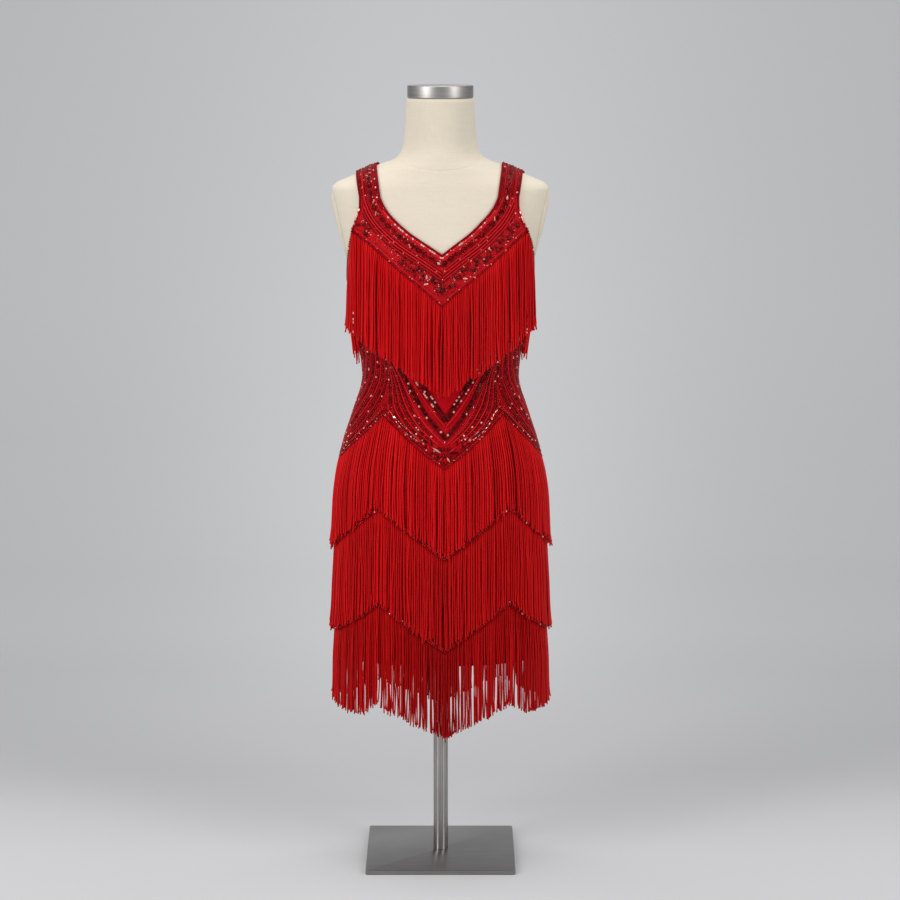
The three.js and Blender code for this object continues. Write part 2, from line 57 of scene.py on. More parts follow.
YOKE = np.array([
    # neck x, neck z, outer x, outer z
    (0, 1057, 0, 974), (12, 1065.5, 22, 994), (24, 1073.7, 45, 1013), (36, 1082, 70, 1033.5), (48, 1090.5, 95, 1055.5), (58, 1099, 120, 1078),
    (62, 1102.5, 133, 1088.5), (66, 1106.5, 143.5, 1097), (76, 1116.5, 140, 1107), (84, 1126, 136, 1119), (91, 1137, 132, 1134), (96.5, 1149, 132, 1148)])
STRAP_NECK, STRAP_OUT, STRAP_ROWS = 104.0, 139.0, 5
CORNER = 7
ARMHOLE = np.array([(53, 1086), (57.5, 1066), (63, 1046), (70, 1028), (79, 1012), (89.9, 1005)])
TIER_1 = np.array([(0, 816), (10, 843), (20, 864), (35, 894), (43, 905), (50, 920), (57, 927), (64, 928)])
TIER_1_SIDE = np.array([(66, 882), (76, 866), (90, 860)])
LINE_2 = np.array([(0, 700), (12, 727), (20, 746), (29, 767), (40, 788), (51, 759), (63, 734), (76, 713), (90, 701)])
LINE_3 = np.array([(0, 546), (12, 573), (24, 601), (37, 630), (54, 593), (74, 562), (90, 551)])
LINE_4 = np.array([(0, 388), (12, 413), (24, 439), (37, 466), (48, 443), (62, 423), (75, 411), (90, 405)])
FRINGE_END = np.array([(0, 238), (11, 254), (20, 266), (28, 279), (37, 292), (47, 276), (57, 271), (72, 279), (90, 285)])


def pchip(xs, ys):
    """A cubic through a table that never overshoots it."""
    order = np.argsort(xs)
    x, y = np.asarray(xs, float)[order], np.asarray(ys, float)[order]
    h, d = np.diff(x), np.diff(y) / np.diff(x)
    m = np.zeros(len(x))
    m[0], m[-1] = d[0], d[-1]
    for i in range(1, len(x) - 1):
        if d[i - 1] * d[i] > 0:
            w1, w2 = 2 * h[i] + h[i - 1], h[i] + 2 * h[i - 1]
            m[i] = (w1 + w2) / (w1 / d[i - 1] + w2 / d[i])

    def f(v):
        v = np.clip(np.asarray(v, float), x[0], x[-1])
        i = np.clip(np.searchsorted(x, v, side="right") - 1, 0, len(x) - 2)
        hh = h[i]
        s = (v - x[i]) / hh
        s2, s3 = s * s, s * s * s
        return (2 * s3 - 3 * s2 + 1) * y[i] + (s3 - 2 * s2 + s) * hh * m[i] + (3 * s2 - 2 * s3) * y[i + 1] + (s3 - s2) * hh * m[i + 1]
    return f


half, front, rear, power = (pchip(LEVELS[:, 0], LEVELS[:, k]) for k in (1, 2, 3, 4))


def turn(z):
    return np.interp(z, TURN[:, 0], TURN[:, 1])


def fold(phi):
    p = np.abs((np.asarray(phi, float) + 180) % 360 - 180)
    return np.where(p > 90, 180 - p, p)


def line(table):
    return lambda phi: np.interp(fold(phi), table[:, 0], table[:, 1])


def level(x, y, z):
    b = np.where(y < 0, front(z), rear(z))
    n = power(z)
    return (np.abs(x) / half(z)) ** n + (np.abs(y) / b) ** n - 1


def normal_at(x, y, z):
    e = 0.05
    g = np.stack([level(x + e, y, z) - level(x - e, y, z), level(x, y + e, z) - level(x, y - e, z), level(x, y, z + e) - level(x, y, z - e)], -1)
    return g / np.linalg.norm(g, axis=-1, keepdims=True)


def heading(phi):
    x, y = REF_A * np.sin(phi * RAD), -REF_B * np.cos(phi * RAD)
    l = np.hypot(x, y)
    return x / l, y / l


def reach(phi, z):
    x, y = heading(phi)
    n = power(z)
    b = np.where(y < 0, front(z), rear(z))
    return ((np.abs(x) / half(z)) ** n + (np.abs(y) / b) ** n) ** (-1 / n)


def on_form(phi, z):
    phi, z = np.broadcast_arrays(np.asarray(phi, float), np.asarray(z, float))
    x, y = heading(phi)
    r = reach(phi, z)
    p = np.stack([x * r, y * r, z], -1)
    return p, normal_at(p[..., 0], p[..., 1], z)


def worn(phi, z):
    return on_form(phi + turn(z), z)


RIDGE_X = np.linspace(0, 182, 400)
_rz = np.linspace(1212, 1160, 1500)
_rh = half(_rz)
RIDGE_Z = np.interp(RIDGE_X, _rh, _rz)


def ridge(x):
    return np.interp(np.abs(x), RIDGE_X, RIDGE_Z)


def on_face(x, z, side):
    n = power(z)
    b = front(z) if side < 0 else rear(z)
    k = np.maximum(0, 1 - (np.abs(x) / half(z)) ** n)
    y = side * np.maximum(0.25, b * k ** (1 / n))
    p = np.stack([x + 0 * y, y, z + 0 * y], -1)
    return p, normal_at(p[..., 0], p[..., 1], p[..., 2])


_k = np.arange(len(YOKE))
YNX, YNZ, YOX, YOZ = (pchip(_k, YOKE[:, c]) for c in range(4))
K0 = len(YOKE) - 1
K1 = K0 + STRAP_ROWS


def yoke_at(k, u, hand, side):
    """A point of the yoke: row k (fractions allowed), u across from the neck edge to the outer edge."""
    k, u = np.broadcast_arrays(np.asarray(k, float), np.asarray(u, float))
    t = np.clip((k - K0) / STRAP_ROWS, 0, 1)
    s = np.sin(t * math.pi / 2)
    kk = np.minimum(k, K0)
    nx, ox = YNX(kk), YOX(kk)
    nx = nx + (STRAP_NECK - nx) * s
    ox = ox + (STRAP_OUT - ox) * s
    x = (nx + (ox - nx) * u) * hand
    z = YNZ(kk) + (YOZ(kk) - YNZ(kk)) * u
    x = x + (-side) * 3.1 * turn(np.where(k > K0, 1150, z))
    z = z + (ridge(x) - z) * s
    return on_face(x, z, side)


def edge_line(side, hand):
    k = np.linspace(0, CORNER, 60)
    p, _ = yoke_at(k, 1.0, hand, side)
    middle = 0 if side < 0 else 180
    phi = np.degrees(np.arctan2(p[:, 0] / REF_A, -p[:, 1] / REF_B))
    rel = (phi - middle - turn(p[:, 2]) + 540) % 360 - 180
    arm = ARMHOLE.copy()
    arm[:, 0] *= -side * hand
    return np.vstack([np.stack([rel, p[:, 2]], -1), arm])


LINE_1 = {}
for _side in (-1, 1):
    _r, _l = edge_line(_side, 1), edge_line(_side, -1)
    _cut = np.vstack([_r, _l[1:]])
    LINE_1[_side] = _cut[np.argsort(_cut[:, 0])]


def line1(side):
    t = LINE_1[side]
    return lambda c: np.interp(c, t[:, 0], t[:, 1])


# ---------------------------------------------------------------- meshes
def ride(obj):
    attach(obj, "root")
    return obj


def mesh_object(name, verts_mm, parts, mat, smooth=True, uvs=None, flags=None):
    """parts: arrays of faces, one array for each number of corners; uvs: matching arrays (faces, corners, 2)."""
    verts = np.ascontiguousarray(np.asarray(verts_mm, float).reshape(-1, 3) * MM, dtype=np.float32)
    parts = [np.asarray(p, np.int32) for p in parts if len(p)]
    me = bpy.data.meshes.new(name)
    me.vertices.add(len(verts))
    me.vertices.foreach_set("co", verts.ravel())
    loops = np.concatenate([p.ravel() for p in parts])
    sizes = np.concatenate([np.full(len(p), p.shape[1], np.int32) for p in parts])
    starts = np.concatenate([[0], np.cumsum(sizes)[:-1]]).astype(np.int32)
    me.loops.add(len(loops))
    me.loops.foreach_set("vertex_index", loops)
    me.polygons.add(len(sizes))
    me.polygons.foreach_set("loop_start", starts)
    me.polygons.foreach_set("use_smooth", np.full(len(sizes), bool(smooth)) if flags is None else np.asarray(flags, bool))
    me.update(calc_edges=True)
    me.validate()
    if uvs is not None:
        layer = me.uv_layers.new(name="UVMap")
        layer.data.foreach_set("uv", np.concatenate([np.asarray(u, np.float32).ravel() for u in uvs]))
    me.materials.append(mat)
    obj = bpy.data.objects.new(name, me)
    bpy.context.scene.collection.objects.link(obj)
    return obj


def grid_faces(rows, cols, closed=False):
    j, i = np.meshgrid(np.arange(rows - 1), np.arange(cols if closed else cols - 1), indexing="ij")
    i1 = (i + 1) % cols
    return np.stack([j * cols + i, j * cols + i1, (j + 1) * cols + i1, (j + 1) * cols + i], -1).reshape(-1, 4)


def shell(name, p, n, inner, outer, mat, uv=None, flip=False):
    """A closed thin wall over a grid of points."""
    rows, cols = p.shape[:2]
    a, b = (p + n * inner).reshape(-1, 3), (p + n * outer).reshape(-1, 3)
    f = grid_faces(rows, cols)
    m = rows * cols
    if flip:
        f = f[:, ::-1]
    rim = np.concatenate([np.arange(cols), np.arange(1, rows) * cols + cols - 1, (rows - 1) * cols + np.arange(cols - 2, -1, -1), np.arange(rows - 2, 0, -1) * cols])
    r1 = np.roll(rim, -1)
    edge = np.stack([rim, rim + m, r1 + m, r1], -1)
    if flip:
        edge = edge[:, ::-1]
    faces = np.concatenate([f + m, f[:, ::-1], edge])
    uvs = None
    if uv is not None:
        flat = uv.reshape(-1, 2)
        both = np.concatenate([flat, flat])
        uvs = [both[faces]]
    return mesh_object(name, np.concatenate([a, b]), [faces], mat, uvs=uvs)


def tubes(name, path, radius, side_axis, out_axis, mat, sides=6, first=0, twist=0.0):
    """Cords joined into one mesh. path (N, S, 3); radius (N, S); the section lies in side_axis and out_axis (N, S, 3)."""
    count, segs = path.shape[:2]
    a = np.arange(sides) / sides * 2 * math.pi
    ring = path[:, :, None] + radius[:, :, None, None] * (np.cos(a)[None, None, :, None] * side_axis[:, :, None] + np.sin(a)[None, None, :, None] * out_axis[:, :, None])
    verts = ring.reshape(-1, 3)
    s, k = np.meshgrid(np.arange(segs - 1), np.arange(sides), indexing="ij")
    k1 = (k + 1) % sides
    quad = np.stack([s * sides + k, (s + 1) * sides + k, (s + 1) * sides + k1, s * sides + k1], -1).reshape(-1, 4)
    base = np.arange(count) * segs * sides
    faces = (quad[None] + base[:, None, None]).reshape(-1, 4)
    cap = np.stack([np.arange(sides), (segs - 1) * sides + np.arange(sides)[::-1]])
    caps = (cap[None] + base[:, None, None]).reshape(-1, sides)
    length = np.concatenate([np.zeros((count, 1)), np.cumsum(np.linalg.norm(np.diff(path, axis=1), axis=-1), axis=1)], axis=1) * MM
    uu = np.stack([k, k, k + 1, k + 1], -1).reshape(-1, 4) / sides * 0.9 + 0.05
    vs = np.stack([s, s + 1, s + 1, s], -1).reshape(-1, 4)
    ids = (np.arange(count) + first)[:, None, None] * np.ones((1, len(quad), 4))
    uv = np.stack([ids + uu[None], length[:, vs]], -1).reshape(-1, 4, 2)
    cap_uv = np.zeros((count, 2, sides, 2))
    cap_uv[..., 0] = (np.arange(count) + first)[:, None, None] + 0.5
    cap_uv[:, 1, :, 1] = length[:, -1][:, None]
    return mesh_object(name, verts, [faces, caps], mat, uvs=[uv, cap_uv.reshape(-1, sides, 2)])


def bead_form(kind):
    """Points and faces of one bead of half size 1: x along the thread, z away from the cloth."""
    if kind == "round":
        pts = [(-1, 0, 0)] + [(r, 0.92 * math.cos(k * math.pi / 3), 0.92 * math.sin(k * math.pi / 3)) for r in (-0.48, 0.48) for k in range(6)] + [(1, 0, 0)]
        quads = [(1 + k, 1 + (k + 1) % 6, 7 + (k + 1) % 6, 7 + k) for k in range(6)]
        tris = [(0, 1 + (k + 1) % 6, 1 + k) for k in range(6)] + [(13, 7 + k, 7 + (k + 1) % 6) for k in range(6)]
    elif kind == "seed":
        w = 2 * math.pi / 5
        pts = [(-1, 0, 0)] + [(r, 0.92 * math.cos(k * w), 0.92 * math.sin(k * w)) for r in (-0.45, 0.45) for k in range(5)] + [(1, 0, 0)]
        quads = [(1 + k, 1 + (k + 1) % 5, 6 + (k + 1) % 5, 6 + k) for k in range(5)]
        tris = [(0, 1 + (k + 1) % 5, 1 + k) for k in range(5)] + [(11, 6 + k, 6 + (k + 1) % 5) for k in range(5)]
    elif kind == "bugle":
        sides = 6
        prof = ((-1.0, 0.62), (-0.86, 1.0), (0.86, 1.0), (1.0, 0.62))
        pts = [(x, r * math.cos(k * math.pi / 3), r * math.sin(k * math.pi / 3)) for x, r in prof for k in range(sides)] + [(-1.0, 0, 0), (1.0, 0, 0)]
        quads = [(s * 6 + k, s * 6 + (k + 1) % 6, (s + 1) * 6 + (k + 1) % 6, (s + 1) * 6 + k) for s in range(3) for k in range(6)]
        tris = [(24, (k + 1) % 6, k) for k in range(6)] + [(25, 18 + k, 18 + (k + 1) % 6) for k in range(6)]
    elif kind == "leaf":
        prof = ((-0.55, 0.62), (0.0, 1.0), (0.55, 0.62))
        pts = [(-1, 0, 0)] + [(x, r * math.cos(k * math.pi / 3), r * math.sin(k * math.pi / 3)) for x, r in prof for k in range(6)] + [(1, 0, 0)]
        quads = [(1 + s * 6 + k, 1 + s * 6 + (k + 1) % 6, 7 + s * 6 + (k + 1) % 6, 7 + s * 6 + k) for s in range(2) for k in range(6)]
        tris = [(0, 1 + (k + 1) % 6, 1 + k) for k in range(6)] + [(19, 13 + k, 13 + (k + 1) % 6) for k in range(6)]
    else:  # square, bevelled all round
        b = 0.72
        pts = [(x, y, z) for x, y, z in ((-1, -b, -b), (-1, b, -b), (-1, b, b), (-1, -b, b), (1, -b, -b), (1, b, -b), (1, b, b), (1, -b, b))]
        pts += [(-b, -1, -b), (b, -1, -b), (b, -1, b), (-b, -1, b), (-b, 1, -b), (b, 1, -b), (b, 1, b), (-b, 1, b)]
        pts += [(-b, -b, 1), (b, -b, 1), (b, b, 1), (-b, b, 1), (-b, -b, -1), (b, -b, -1), (b, b, -1), (-b, b, -1)]
        quads = [(0, 3, 2, 1), (4, 5, 6, 7), (8, 9, 10, 11), (12, 15, 14, 13), (16, 17, 18, 19), (20, 23, 22, 21),
                 (0, 8, 11, 3), (4, 7, 10, 9), (1, 2, 15, 12), (5, 13, 14, 6), (3, 16, 19, 2), (7, 6, 18, 17), (0, 1, 23, 20), (4, 21, 22, 5),
                 (11, 10, 17, 16), (15, 19, 18, 14), (8, 20, 21, 9), (12, 13, 22, 23)]
        tris = [(3, 11, 16), (7, 17, 10), (2, 19, 15), (6, 14, 18), (0, 20, 8), (4, 9, 21), (1, 12, 23), (5, 22, 13)]
    return np.array(pts, float), np.array(quads, int), np.array(tris, int)


FORMS = {k: bead_form(k) for k in ("round", "seed", "bugle", "leaf", "square")}


class Beads:
    """Collects beads and makes one joined mesh of them."""

    def __init__(self):
        self.v, self.q, self.t, self.uq, self.ut, self.fq, self.ft, self.n, self.count = [], [], [], [], [], [], [], 0, 0

    def add(self, kind, p, along, out, size, tone=0.5):
        """size (along, across, out) half sizes in mm, one row or one for each; tone 0 dark .. 1 bright."""
        p = np.asarray(p, float).reshape(-1, 3)
        m = len(p)
        if not m:
            return
        out = np.broadcast_to(out, p.shape)
        along = np.broadcast_to(along, p.shape)
        along = along - out * np.sum(along * out, -1, keepdims=True)
        along = along / np.maximum(1e-9, np.linalg.norm(along, axis=-1, keepdims=True))
        cross = np.cross(out, along)
        size = np.broadcast_to(np.asarray(size, float), (m, 3))
        pts, quads, tris = FORMS[kind]
        v = p[:, None] + (pts[None, :, 0, None] * size[:, None, 0:1]) * along[:, None] + (pts[None, :, 1, None] * size[:, None, 1:2]) * cross[:, None] + (pts[None, :, 2, None] * size[:, None, 2:3]) * out[:, None]
        base = self.n + np.arange(m) * len(pts)
        ids = self.count + np.arange(m)
        tone = np.broadcast_to(np.asarray(tone, float), (m,))
        self.v.append(v.reshape(-1, 3))
        for faces, store, uvs, flags in ((quads, self.q, self.uq, self.fq), (tris, self.t, self.ut, self.ft)):
            store.append((faces[None] + base[:, None, None]).reshape(-1, faces.shape[1]))
            flags.append(np.full(m * len(faces), kind in ("round", "seed")))
            uv = np.zeros((m, len(faces), faces.shape[1], 2))
            uv[..., 0] = ids[:, None, None] + 0.5
            uv[..., 1] = tone[:, None, None]
            uvs.append(uv.reshape(-1, faces.shape[1], 2))
        self.n += m * len(pts)
        self.count += m

    def build(self, name, mat):
        return mesh_object(name, np.concatenate(self.v), [np.concatenate(self.q), np.concatenate(self.t)], mat, uvs=[np.concatenate(self.uq), np.concatenate(self.ut)], flags=np.concatenate(self.fq + self.ft))


def walk(p, n, pitch, start=0.5):
    """Evenly spaced points, directions and normals along a polyline."""
    d = np.concatenate([[0], np.cumsum(np.linalg.norm(np.diff(p, axis=0), axis=1))])
    if d[-1] < pitch:
        return np.zeros((0, 3)), np.zeros((0, 3)), np.zeros((0, 3)), np.zeros(0)
    count = max(1, int(round(d[-1] / pitch)))
    s = (np.arange(count) + start) * d[-1] / count
    q = np.stack([np.interp(s, d, p[:, k]) for k in range(3)], -1)
    m = np.stack([np.interp(s, d, n[:, k]) for k in range(3)], -1)
    m /= np.linalg.norm(m, axis=1, keepdims=True)
    e = 0.6
    a = np.stack([np.interp(s + e, d, p[:, k]) for k in range(3)], -1) - np.stack([np.interp(s - e, d, p[:, k]) for k in range(3)], -1)
    a /= np.maximum(1e-9, np.linalg.norm(a, axis=1, keepdims=True))
    return q, a, m, s


# ---------------------------------------------------------------- materials
def nodes_of(name):
    mat = bpy.data.materials.new(name)
    mat.use_nodes = True
    nt = mat.node_tree
    nt.nodes.clear()
    out = nt.nodes.new("ShaderNodeOutputMaterial")
    bsdf = nt.nodes.new("ShaderNodeBsdfPrincipled")
    nt.links.new(bsdf.outputs["BSDF"], out.inputs["Surface"])
    return mat, nt, bsdf


def node(nt, kind, **values):
    n = nt.nodes.new(kind)
    for key, value in values.items():
        if key in n.inputs:
            n.inputs[key].default_value = value
        else:
            setattr(n, key, value)
    return n


def maths(nt, op, a, b=None, c=None, clamp=False):
    n = nt.nodes.new("ShaderNodeMath")
    n.operation = op
    n.use_clamp = clamp
    for k, v in enumerate((a, b, c)):
        if v is None:
            continue
        if isinstance(v, (int, float)):
            n.inputs[k].default_value = v
        else:
            nt.links.new(v, n.inputs[k])
    return n.outputs[0]


def ramp(nt, fac, stops):
    n = nt.nodes.new("ShaderNodeValToRGB")
    cr = n.color_ramp
    while len(cr.elements) < len(stops):
        cr.elements.new(0.5)
    for e, (pos, col) in zip(cr.elements, stops):
        e.position = pos
        e.color = (*col, 1) if len(col) == 3 else col
    nt.links.new(fac, n.inputs[0])
    return n.outputs[0]


def mix(nt, fac, a, b, mode="MIX"):
    n = nt.nodes.new("ShaderNodeMix")
    n.data_type = "RGBA"
    n.blend_type = mode
    if isinstance(fac, (int, float)):
        n.inputs[0].default_value = fac
    else:
        nt.links.new(fac, n.inputs[0])
    for sock, v in ((n.inputs[6], a), (n.inputs[7], b)):
        if isinstance(v, tuple):
            sock.default_value = (*v, 1)
        else:
            nt.links.new(v, sock)
    return n.outputs[2]


def bump(nt, height, strength, distance, bsdf, after=None):
    n = nt.nodes.new("ShaderNodeBump")
    n.inputs["Strength"].default_value = strength
    n.inputs["Distance"].default_value = distance
    nt.links.new(height, n.inputs["Height"])
    if after is not None:
        nt.links.new(after, n.inputs["Normal"])
    nt.links.new(n.outputs[0], bsdf.inputs["Normal"])
    return n.outputs[0]


def noise(nt, coords, scale, detail=2.0, rough=0.5):
    n = node(nt, "ShaderNodeTexNoise")
    n.inputs["Scale"].default_value = scale
    n.inputs["Detail"].default_value = detail
    n.inputs["Roughness"].default_value = rough
    nt.links.new(coords, n.inputs["Vector"])
    return n.outputs[0]


def scaled(nt, coords, s):
    n = nt.nodes.new("ShaderNodeMapping")
    n.inputs["Scale"].default_value = s
    nt.links.new(coords, n.inputs["Vector"])
    return n.outputs[0]


def cord_material(name, dark, mid, bright, rough=0.42, shine=0.25, centre_shade=0.0):
    """Twisted rayon cords: a tone of its own for each cord, and the twist, with painted shade in its grooves."""
    mat, nt, b = nodes_of(name)
    uv = nt.nodes.new("ShaderNodeUVMap").outputs[0]
    sep = nt.nodes.new("ShaderNodeSeparateXYZ")
    nt.links.new(uv, sep.inputs[0])
    u, v = sep.outputs[0], sep.outputs[1]
    who = maths(nt, "FLOOR", u)
    wn = nt.nodes.new("ShaderNodeTexWhiteNoise")
    wn.noise_dimensions = "1D"
    nt.links.new(who, wn.inputs["W"])
    low = tuple(0.26 * d + 0.74 * m for d, m in zip(dark, mid))
    tone = ramp(nt, wn.outputs[0], [(0.0, low), (0.45, mid), (1.0, bright)])
    around = maths(nt, "SUBTRACT", u, who)
    turns = maths(nt, "ADD", maths(nt, "MULTIPLY", v, 420.0), maths(nt, "MULTIPLY", around, 2.0))
    wave = maths(nt, "ADD", maths(nt, "MULTIPLY", maths(nt, "SINE", maths(nt, "MULTIPLY", turns, 2 * math.pi)), 0.5), 0.5)
    geo = nt.nodes.new("ShaderNodeTexCoord").outputs["Object"]
    along = noise(nt, scaled(nt, geo, (520, 520, 60)), 1.0, 3.0, 0.62)
    # painted shade: the colour is mixed toward the dark colour in the grooves of the twist, and at random along and
    # across the cords
    shade = maths(nt, "ADD", maths(nt, "MULTIPLY", wave, 0.22), maths(nt, "MULTIPLY", along, 0.72))
    less = maths(nt, "SUBTRACT", 0.71, shade)
    if centre_shade:  # painted shade: the cords in the middle, over the pole, are mixed toward the dark colour
        part_ = nt.nodes.new("ShaderNodeSeparateXYZ")
        nt.links.new(geo, part_.inputs[0])
        near = maths(nt, "EXPONENT", maths(nt, "MULTIPLY", maths(nt, "POWER", maths(nt, "MULTIPLY", maths(nt, "ABSOLUTE", part_.outputs[0]), 1 / 0.062), 2.0), -1.0))
        less = maths(nt, "ADD", less, maths(nt, "MULTIPLY", near, centre_shade))
    less = maths(nt, "MINIMUM", maths(nt, "MAXIMUM", less, 0.0), 1.0)
    col = mix(nt, less, tone, dark, "MIX")
    nt.links.new(col, b.inputs["Base Color"])
    b.inputs["Roughness"].default_value = rough
    b.inputs["Specular IOR Level"].default_value = shine
    b.inputs["Specular Tint"].default_value = (1.0, 0.26, 0.24, 1)
    bump(nt, wave, 0.5, 0.00035, b)
    return mat


def net_material(name, dark, light, scale=1.0):
    """Fine knitted net: rows of small loops."""
    mat, nt, b = nodes_of(name)
    geo = nt.nodes.new("ShaderNodeTexCoord").outputs["Object"]
    sep = nt.nodes.new("ShaderNodeSeparateXYZ")
    nt.links.new(geo, sep.inputs[0])
    uv = nt.nodes.new("ShaderNodeUVMap").outputs[0]
    s2 = nt.nodes.new("ShaderNodeSeparateXYZ")
    nt.links.new(uv, s2.inputs[0])
    rows = maths(nt, "SINE", maths(nt, "MULTIPLY", s2.outputs[1], 2 * math.pi / (0.0016 * scale)))
    cols = maths(nt, "SINE", maths(nt, "MULTIPLY", s2.outputs[0], 2 * math.pi / (0.0013 * scale)))
    knit = maths(nt, "ADD", maths(nt, "MULTIPLY", maths(nt, "MULTIPLY", rows, cols), 0.5), 0.5)
    wide = noise(nt, geo, 55.0, 3.0)
    fac = maths(nt, "ADD", maths(nt, "MULTIPLY", knit, 0.6), maths(nt, "MULTIPLY", wide, 0.5), clamp=True)
    nt.links.new(ramp(nt, fac, [(0.15, dark), (0.85, light)]), b.inputs["Base Color"])
    b.inputs["Roughness"].default_value = 0.65
    b.inputs["Specular IOR Level"].default_value = 0.12
    b.inputs["Specular Tint"].default_value = (1.0, 0.18, 0.16, 1)
    bump(nt, knit, 0.6, 0.0004, b)
    return mat


def bead_material(name, dark, mid, lining_and_glint, share=0.06, rough=0.16, shine=0.40):
    """Glass beads: each its own depth of red, and a few with a silvered lining, whose colour is half metal and half a
    painted glint.
    """
    mat, nt, b = nodes_of(name)
    uv = nt.nodes.new("ShaderNodeUVMap").outputs[0]
    sep = nt.nodes.new("ShaderNodeSeparateXYZ")
    nt.links.new(uv, sep.inputs[0])
    wn = nt.nodes.new("ShaderNodeTexWhiteNoise")
    wn.noise_dimensions = "1D"
    nt.links.new(sep.outputs[0], wn.inputs["W"])
    wn2 = nt.nodes.new("ShaderNodeTexWhiteNoise")
    wn2.noise_dimensions = "1D"
    nt.links.new(maths(nt, "ADD", sep.outputs[0], 511.3), wn2.inputs["W"])
    level_ = maths(nt, "ADD", maths(nt, "MULTIPLY", wn.outputs[0], 0.45), maths(nt, "MULTIPLY", sep.outputs[1], 0.6), clamp=True)
    base = ramp(nt, level_, [(0.1, dark), (0.75, mid), (1.0, tuple(min(1, c * 1.6) for c in mid))])
    # painted glint: the lined beads take the glint colour, half of it as metal and half as plain diffuse colour
    lining_and_glint_mask = maths(nt, "GREATER_THAN", maths(nt, "ADD", wn2.outputs[0], maths(nt, "MULTIPLY", maths(nt, "GREATER_THAN", sep.outputs[1], 0.9), 0.45)), 1 - share)
    geo = nt.nodes.new("ShaderNodeTexCoord").outputs["Object"]
    swirl = noise(nt, geo, 900.0, 1.0)
    base = mix(nt, maths(nt, "MULTIPLY", swirl, 0.35), base, dark)
    nt.links.new(mix(nt, lining_and_glint_mask, base, lining_and_glint), b.inputs["Base Color"])
    nt.links.new(maths(nt, "MULTIPLY", lining_and_glint_mask, 0.5), b.inputs["Metallic"])
    b.inputs["Roughness"].default_value = rough
    b.inputs["Specular IOR Level"].default_value = shine
    b.inputs["Specular Tint"].default_value = (1.0, 0.34, 0.30, 1)
    return mat


def linen_material(name, dark, light):
    mat, nt, b = nodes_of(name)
    geo = nt.nodes.new("ShaderNodeTexCoord").outputs["Object"]
    uv = nt.nodes.new("ShaderNodeUVMap").outputs[0]
    s2 = nt.nodes.new("ShaderNodeSeparateXYZ")
    nt.links.new(uv, s2.inputs[0])
    weft = maths(nt, "SINE", maths(nt, "MULTIPLY", s2.outputs[1], 2 * math.pi / 0.0011))
    warp = maths(nt, "SINE", maths(nt, "MULTIPLY", s2.outputs[0], 2 * math.pi / 0.0011))
    weave = maths(nt, "ADD", maths(nt, "MULTIPLY", maths(nt, "MULTIPLY", weft, warp), 0.5), 0.5)
    slub_v = noise(nt, scaled(nt, geo, (700, 700, 30)), 1.0, 2.0)
    slub_h = noise(nt, scaled(nt, geo, (35, 35, 700)), 1.0, 2.0)
    wide = noise(nt, geo, 9.0, 3.0)
    fac = maths(nt, "ADD", maths(nt, "MULTIPLY", maths(nt, "ADD", slub_v, slub_h), 0.36), maths(nt, "MULTIPLY", wide, 0.3))
    fac = maths(nt, "ADD", fac, maths(nt, "MULTIPLY", weave, 0.12), clamp=True)
    nt.links.new(ramp(nt, fac, [(0.3, dark), (0.72, light)]), b.inputs["Base Color"])
    b.inputs["Roughness"].default_value = 0.88
    b.inputs["Specular IOR Level"].default_value = 0.2
    b.inputs["Sheen Weight"].default_value = 0.1
    h = maths(nt, "ADD", maths(nt, "MULTIPLY", weave, 0.5), maths(nt, "MULTIPLY", maths(nt, "ADD", slub_v, slub_h), 0.35))
    bump(nt, h, 0.45, 0.0003, b)
    return mat


def steel_material(name, dark, light, rough, grain, spots=0.0, turned_=0.0):
    """Brushed metal: the grain is noise drawn out along one direction."""
    mat, nt, b = nodes_of(name)
    geo = nt.nodes.new("ShaderNodeTexCoord").outputs["Object"]
    lines = noise(nt, scaled(nt, geo, grain), 1.0, 3.0, 0.6)
    wide = noise(nt, geo, 14.0, 3.0)
    fac = maths(nt, "ADD", maths(nt, "MULTIPLY", lines, 0.75), maths(nt, "MULTIPLY", wide, 0.25 + spots), clamp=True)
    nt.links.new(ramp(nt, fac, [(0.3, dark), (0.7, light)]), b.inputs["Base Color"])
    b.inputs["Metallic"].default_value = 1.0
    if turned_:
        b.inputs["Anisotropic"].default_value = turned_
        b.inputs["Anisotropic Rotation"].default_value = 0.25
    r = maths(nt, "ADD", maths(nt, "MULTIPLY", lines, 0.18), rough - 0.09)
    nt.links.new(r, b.inputs["Roughness"])
    bump(nt, lines, 0.12, 0.0002, b)
    return mat


# painted shade: the middle and lower tiers get darker copies of the same cord colours, for the shade under the tier
# above, and a painted shade in the middle over the pole
CORD_A = cord_material("cord_upper", (0.22, 0.001, 0.002), (0.645, 0.003, 0.006), (0.785, 0.008, 0.011))
CORD_B = cord_material("cord_middle", (0.19, 0.001, 0.002), (0.60, 0.003, 0.005), (0.735, 0.006, 0.008), centre_shade=0.22)
CORD_C = cord_material("cord_lower", (0.16, 0.001, 0.002), (0.54, 0.002, 0.003), (0.675, 0.004, 0.006), centre_shade=0.34)
SATIN = cord_material("satin_cord", (0.26, 0.002, 0.005), (0.66, 0.009, 0.016), (0.78, 0.015, 0.024), 0.36, 0.15)
RIB = cord_material("rib_cord", (0.10, 0.001, 0.003), (0.42, 0.004, 0.010), (0.66, 0.008, 0.016), 0.4, 0.10)
NET = net_material("crimson_net", (0.20, 0.001, 0.003), (0.57, 0.004, 0.010))
YOKE_NET = net_material("yoke_net", (0.30, 0.003, 0.006), (0.69, 0.010, 0.018))
